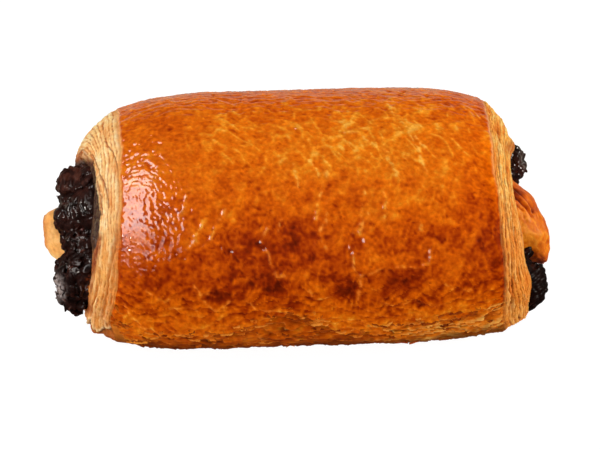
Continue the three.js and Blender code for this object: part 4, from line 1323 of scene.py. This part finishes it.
def make_stage():
    mesh = bpy.data.meshes.new("floor")
    mesh.from_pydata([(-3, -3, 0), (3, -3, 0), (3, 3, 0), (-3, 3, 0)], [], [(0, 1, 2, 3)])
    floor = bpy.data.objects.new("floor", mesh)
    floor.location = (0, 0, -0.0001)
    bpy.context.scene.collection.objects.link(floor)
    # Bright from above, and clear from below so that the underside can be looked at.
    mat, nodes, links, shader = new_material("floor_white")
    shader.inputs["Base Color"].default_value = (0.14, 0.14, 0.14, 1)
    shader.inputs["Roughness"].default_value = 0.9
    shader.inputs["Specular IOR Level"].default_value = 0.0
    shader.inputs["Emission Color"].default_value = (1, 1, 1, 1)
    shader.inputs["Emission Strength"].default_value = 0.955
    clear = nodes.new("ShaderNodeBsdfTransparent")
    back = nodes.new("ShaderNodeNewGeometry").outputs["Backfacing"]
    join = nodes.new("ShaderNodeMixShader")
    links.new(back, join.inputs[0])
    links.new(shader.outputs[0], join.inputs[1])
    links.new(clear.outputs[0], join.inputs[2])
    links.new(join.outputs[0], nodes["Material Output"].inputs[0])
    mesh.materials.append(mat)
    floor.visible_diffuse = floor.visible_glossy = floor.visible_shadow = False

    # The pale sheen that the table behind gives the glaze at a slant.
    sheen_mesh = bpy.data.meshes.new("table_sheen")
    sheen_mesh.from_pydata([(-2, 0.02, 0), (2, 0.02, 0), (2, 2, 0), (-2, 2, 0)], [], [(0, 1, 2, 3)])
    sheen = bpy.data.objects.new("table_sheen", sheen_mesh)
    sheen.location = (0, 0, -0.002)
    bpy.context.scene.collection.objects.link(sheen)
    mat, nodes, links, shader = new_material("table_sheen")
    shader.inputs["Base Color"].default_value = (0, 0, 0, 1)
    shader.inputs["Specular IOR Level"].default_value = 0.0
    shader.inputs["Emission Color"].default_value = (1, 0.86, 0.7, 1)
    shader.inputs["Emission Strength"].default_value = 0.52
    sheen_mesh.materials.append(mat)
    sheen.visible_camera = sheen.visible_diffuse = sheen.visible_shadow = False

    # A white wall far round the table, seen by the camera only.
    ring = [(math.cos(a) * 2.9, math.sin(a) * 2.9) for a in np.linspace(0, 2 * math.pi, 49)[:-1]]
    wall_mesh = bpy.data.meshes.new("backdrop")
    wall_mesh.from_pydata([(u, v, z) for z in (-3.0, 3.0) for u, v in ring], [],
                          [(i, (i + 1) % 48, 48 + (i + 1) % 48, 48 + i) for i in range(48)])
    wall = bpy.data.objects.new("backdrop", wall_mesh)
    bpy.context.scene.collection.objects.link(wall)
    mat, nodes, links, shader = new_material("backdrop_white")
    shader.inputs["Base Color"].default_value = (0, 0, 0, 1)
    shader.inputs["Specular IOR Level"].default_value = 0.0
    shader.inputs["Emission Color"].default_value = (1, 1, 1, 1)
    shader.inputs["Emission Strength"].default_value = 1.0
    wall_mesh.materials.append(mat)
    wall.visible_diffuse = wall.visible_glossy = wall.visible_shadow = False

    world = bpy.data.worlds.new("studio")
    world.use_nodes = True
    bg = world.node_tree.nodes["Background"]
    bg.inputs["Color"].default_value = (1, 1, 1, 1)
    bg.inputs["Strength"].default_value = 0.035
    bpy.context.scene.world = world

    # The softbox's first size lies along Y.
    area_light("softbox", (-0.375, -0.04, 0.56), (-0.01, 0, 0.03), 0.98, 0.2, 6.4, diffuse=False, tint_rgb=(1, 0.955, 0.92))
    area_light("key", (-0.375, -0.04, 0.56), (-0.01, 0, 0.03), 0.9, 0.3, 4.6, glossy=False)
    area_light("overhead", (0.05, 0.6, 1.0), (0, 0, 0.02), 1.2, 1.2, 6.2, glossy=False)
    area_light("front_fill", (0.1, -0.9, 0.25), (0, 0, 0.02), 0.9, 0.5, 0.4, glossy=False)
    area_light("right_fill", (0.75, -0.15, 0.2), (0, 0, 0.02), 0.6, 0.6, 5.8, glossy=False)
    area_light("left_fill", (-0.7, -0.4, 0.14), (0, 0, 0.02), 0.6, 0.5, 3.7, glossy=False)
    area_light("spark_left", (-0.62, -0.28, 0.5), (-0.05, 0, 0.02), 0.12, 0.12, 4.2, diffuse=False, tint_rgb=(1, 0.93, 0.84))
    area_light("spark_right", (0.75, -0.05, 0.3), (0.05, 0, 0.02), 0.15, 0.15, 5.0, diffuse=False, tint_rgb=(1, 0.93, 0.84))
    area_light("table_bounce", (-0.1, -0.1, -0.35), (0, 0, 0.02), 1.5, 1.5, 5.0, glossy=False)


# ------------------------------------------------------------------ all of it
scene = bpy.context.scene
scene.view_settings.view_transform = "Standard"
scene.view_settings.look = "None"
make_camera()
make_stage()

crust_mat = food_material("glazed_crust", 1000, 0.21, 1500, 0.00012, 0.5, 1.0, 0.05, spec=0.01)
layer_mat = food_material("layered_dough", 1500, 0.12, 2200, 0.00022, 0.62, 0.5, 0.2,
                          scatter=0.12, spec=0.1)
choc_mat = food_material("baked_chocolate", 1800, 0.2, 2600, 0.00003, 0.6, 1.0, 0.05, spec=0.04)
lobe_mat = food_material("baked_dough", 1100, 0.14, 1700, 0.00014, 0.5, 0.8, 0.2, scatter=0.06, spec=0.1)
flake_mat = food_material("flakes", 1600, 0.2, 2400, 0.00012, 0.7, 0.1, 0.3, spec=0.04)

(crust, crust_low), crust_p, crust_col, crust_base, crust_n = make_crust()
layers_left = make_end(LEFT, "layers_left", crust_p[0], crust_col[0])
layers_right = make_end(RIGHT, "layers_right", crust_p[-1], crust_col[-1])
choc_far = make_chocolate(BATON_FAR, "chocolate_far", 500, LUMPS_FAR)
choc_near = make_chocolate(BATON_NEAR, "chocolate_near", 600, LUMPS_NEAR)
lobe_left = make_lobe_left()
lobe_right = make_lobe_right()
flakes = make_flakes(crust_p, crust_base, crust_n)

for obj, mat, slot in ((crust, crust_mat, "dough"), (crust_low, crust_mat, "dough"), (layers_left, layer_mat, "dough"),
                       (layers_right, layer_mat, "dough"), (lobe_left, lobe_mat, "dough"),
                       (lobe_right, lobe_mat, "dough"), (flakes, flake_mat, "dough"),
                       (choc_far, choc_mat, "chocolate"), (choc_near, choc_mat, "chocolate")):
    obj.data.materials.append(mat)
    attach(obj, "root")
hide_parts("dough_roll")
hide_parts("chocolate_far")
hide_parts("chocolate_near")
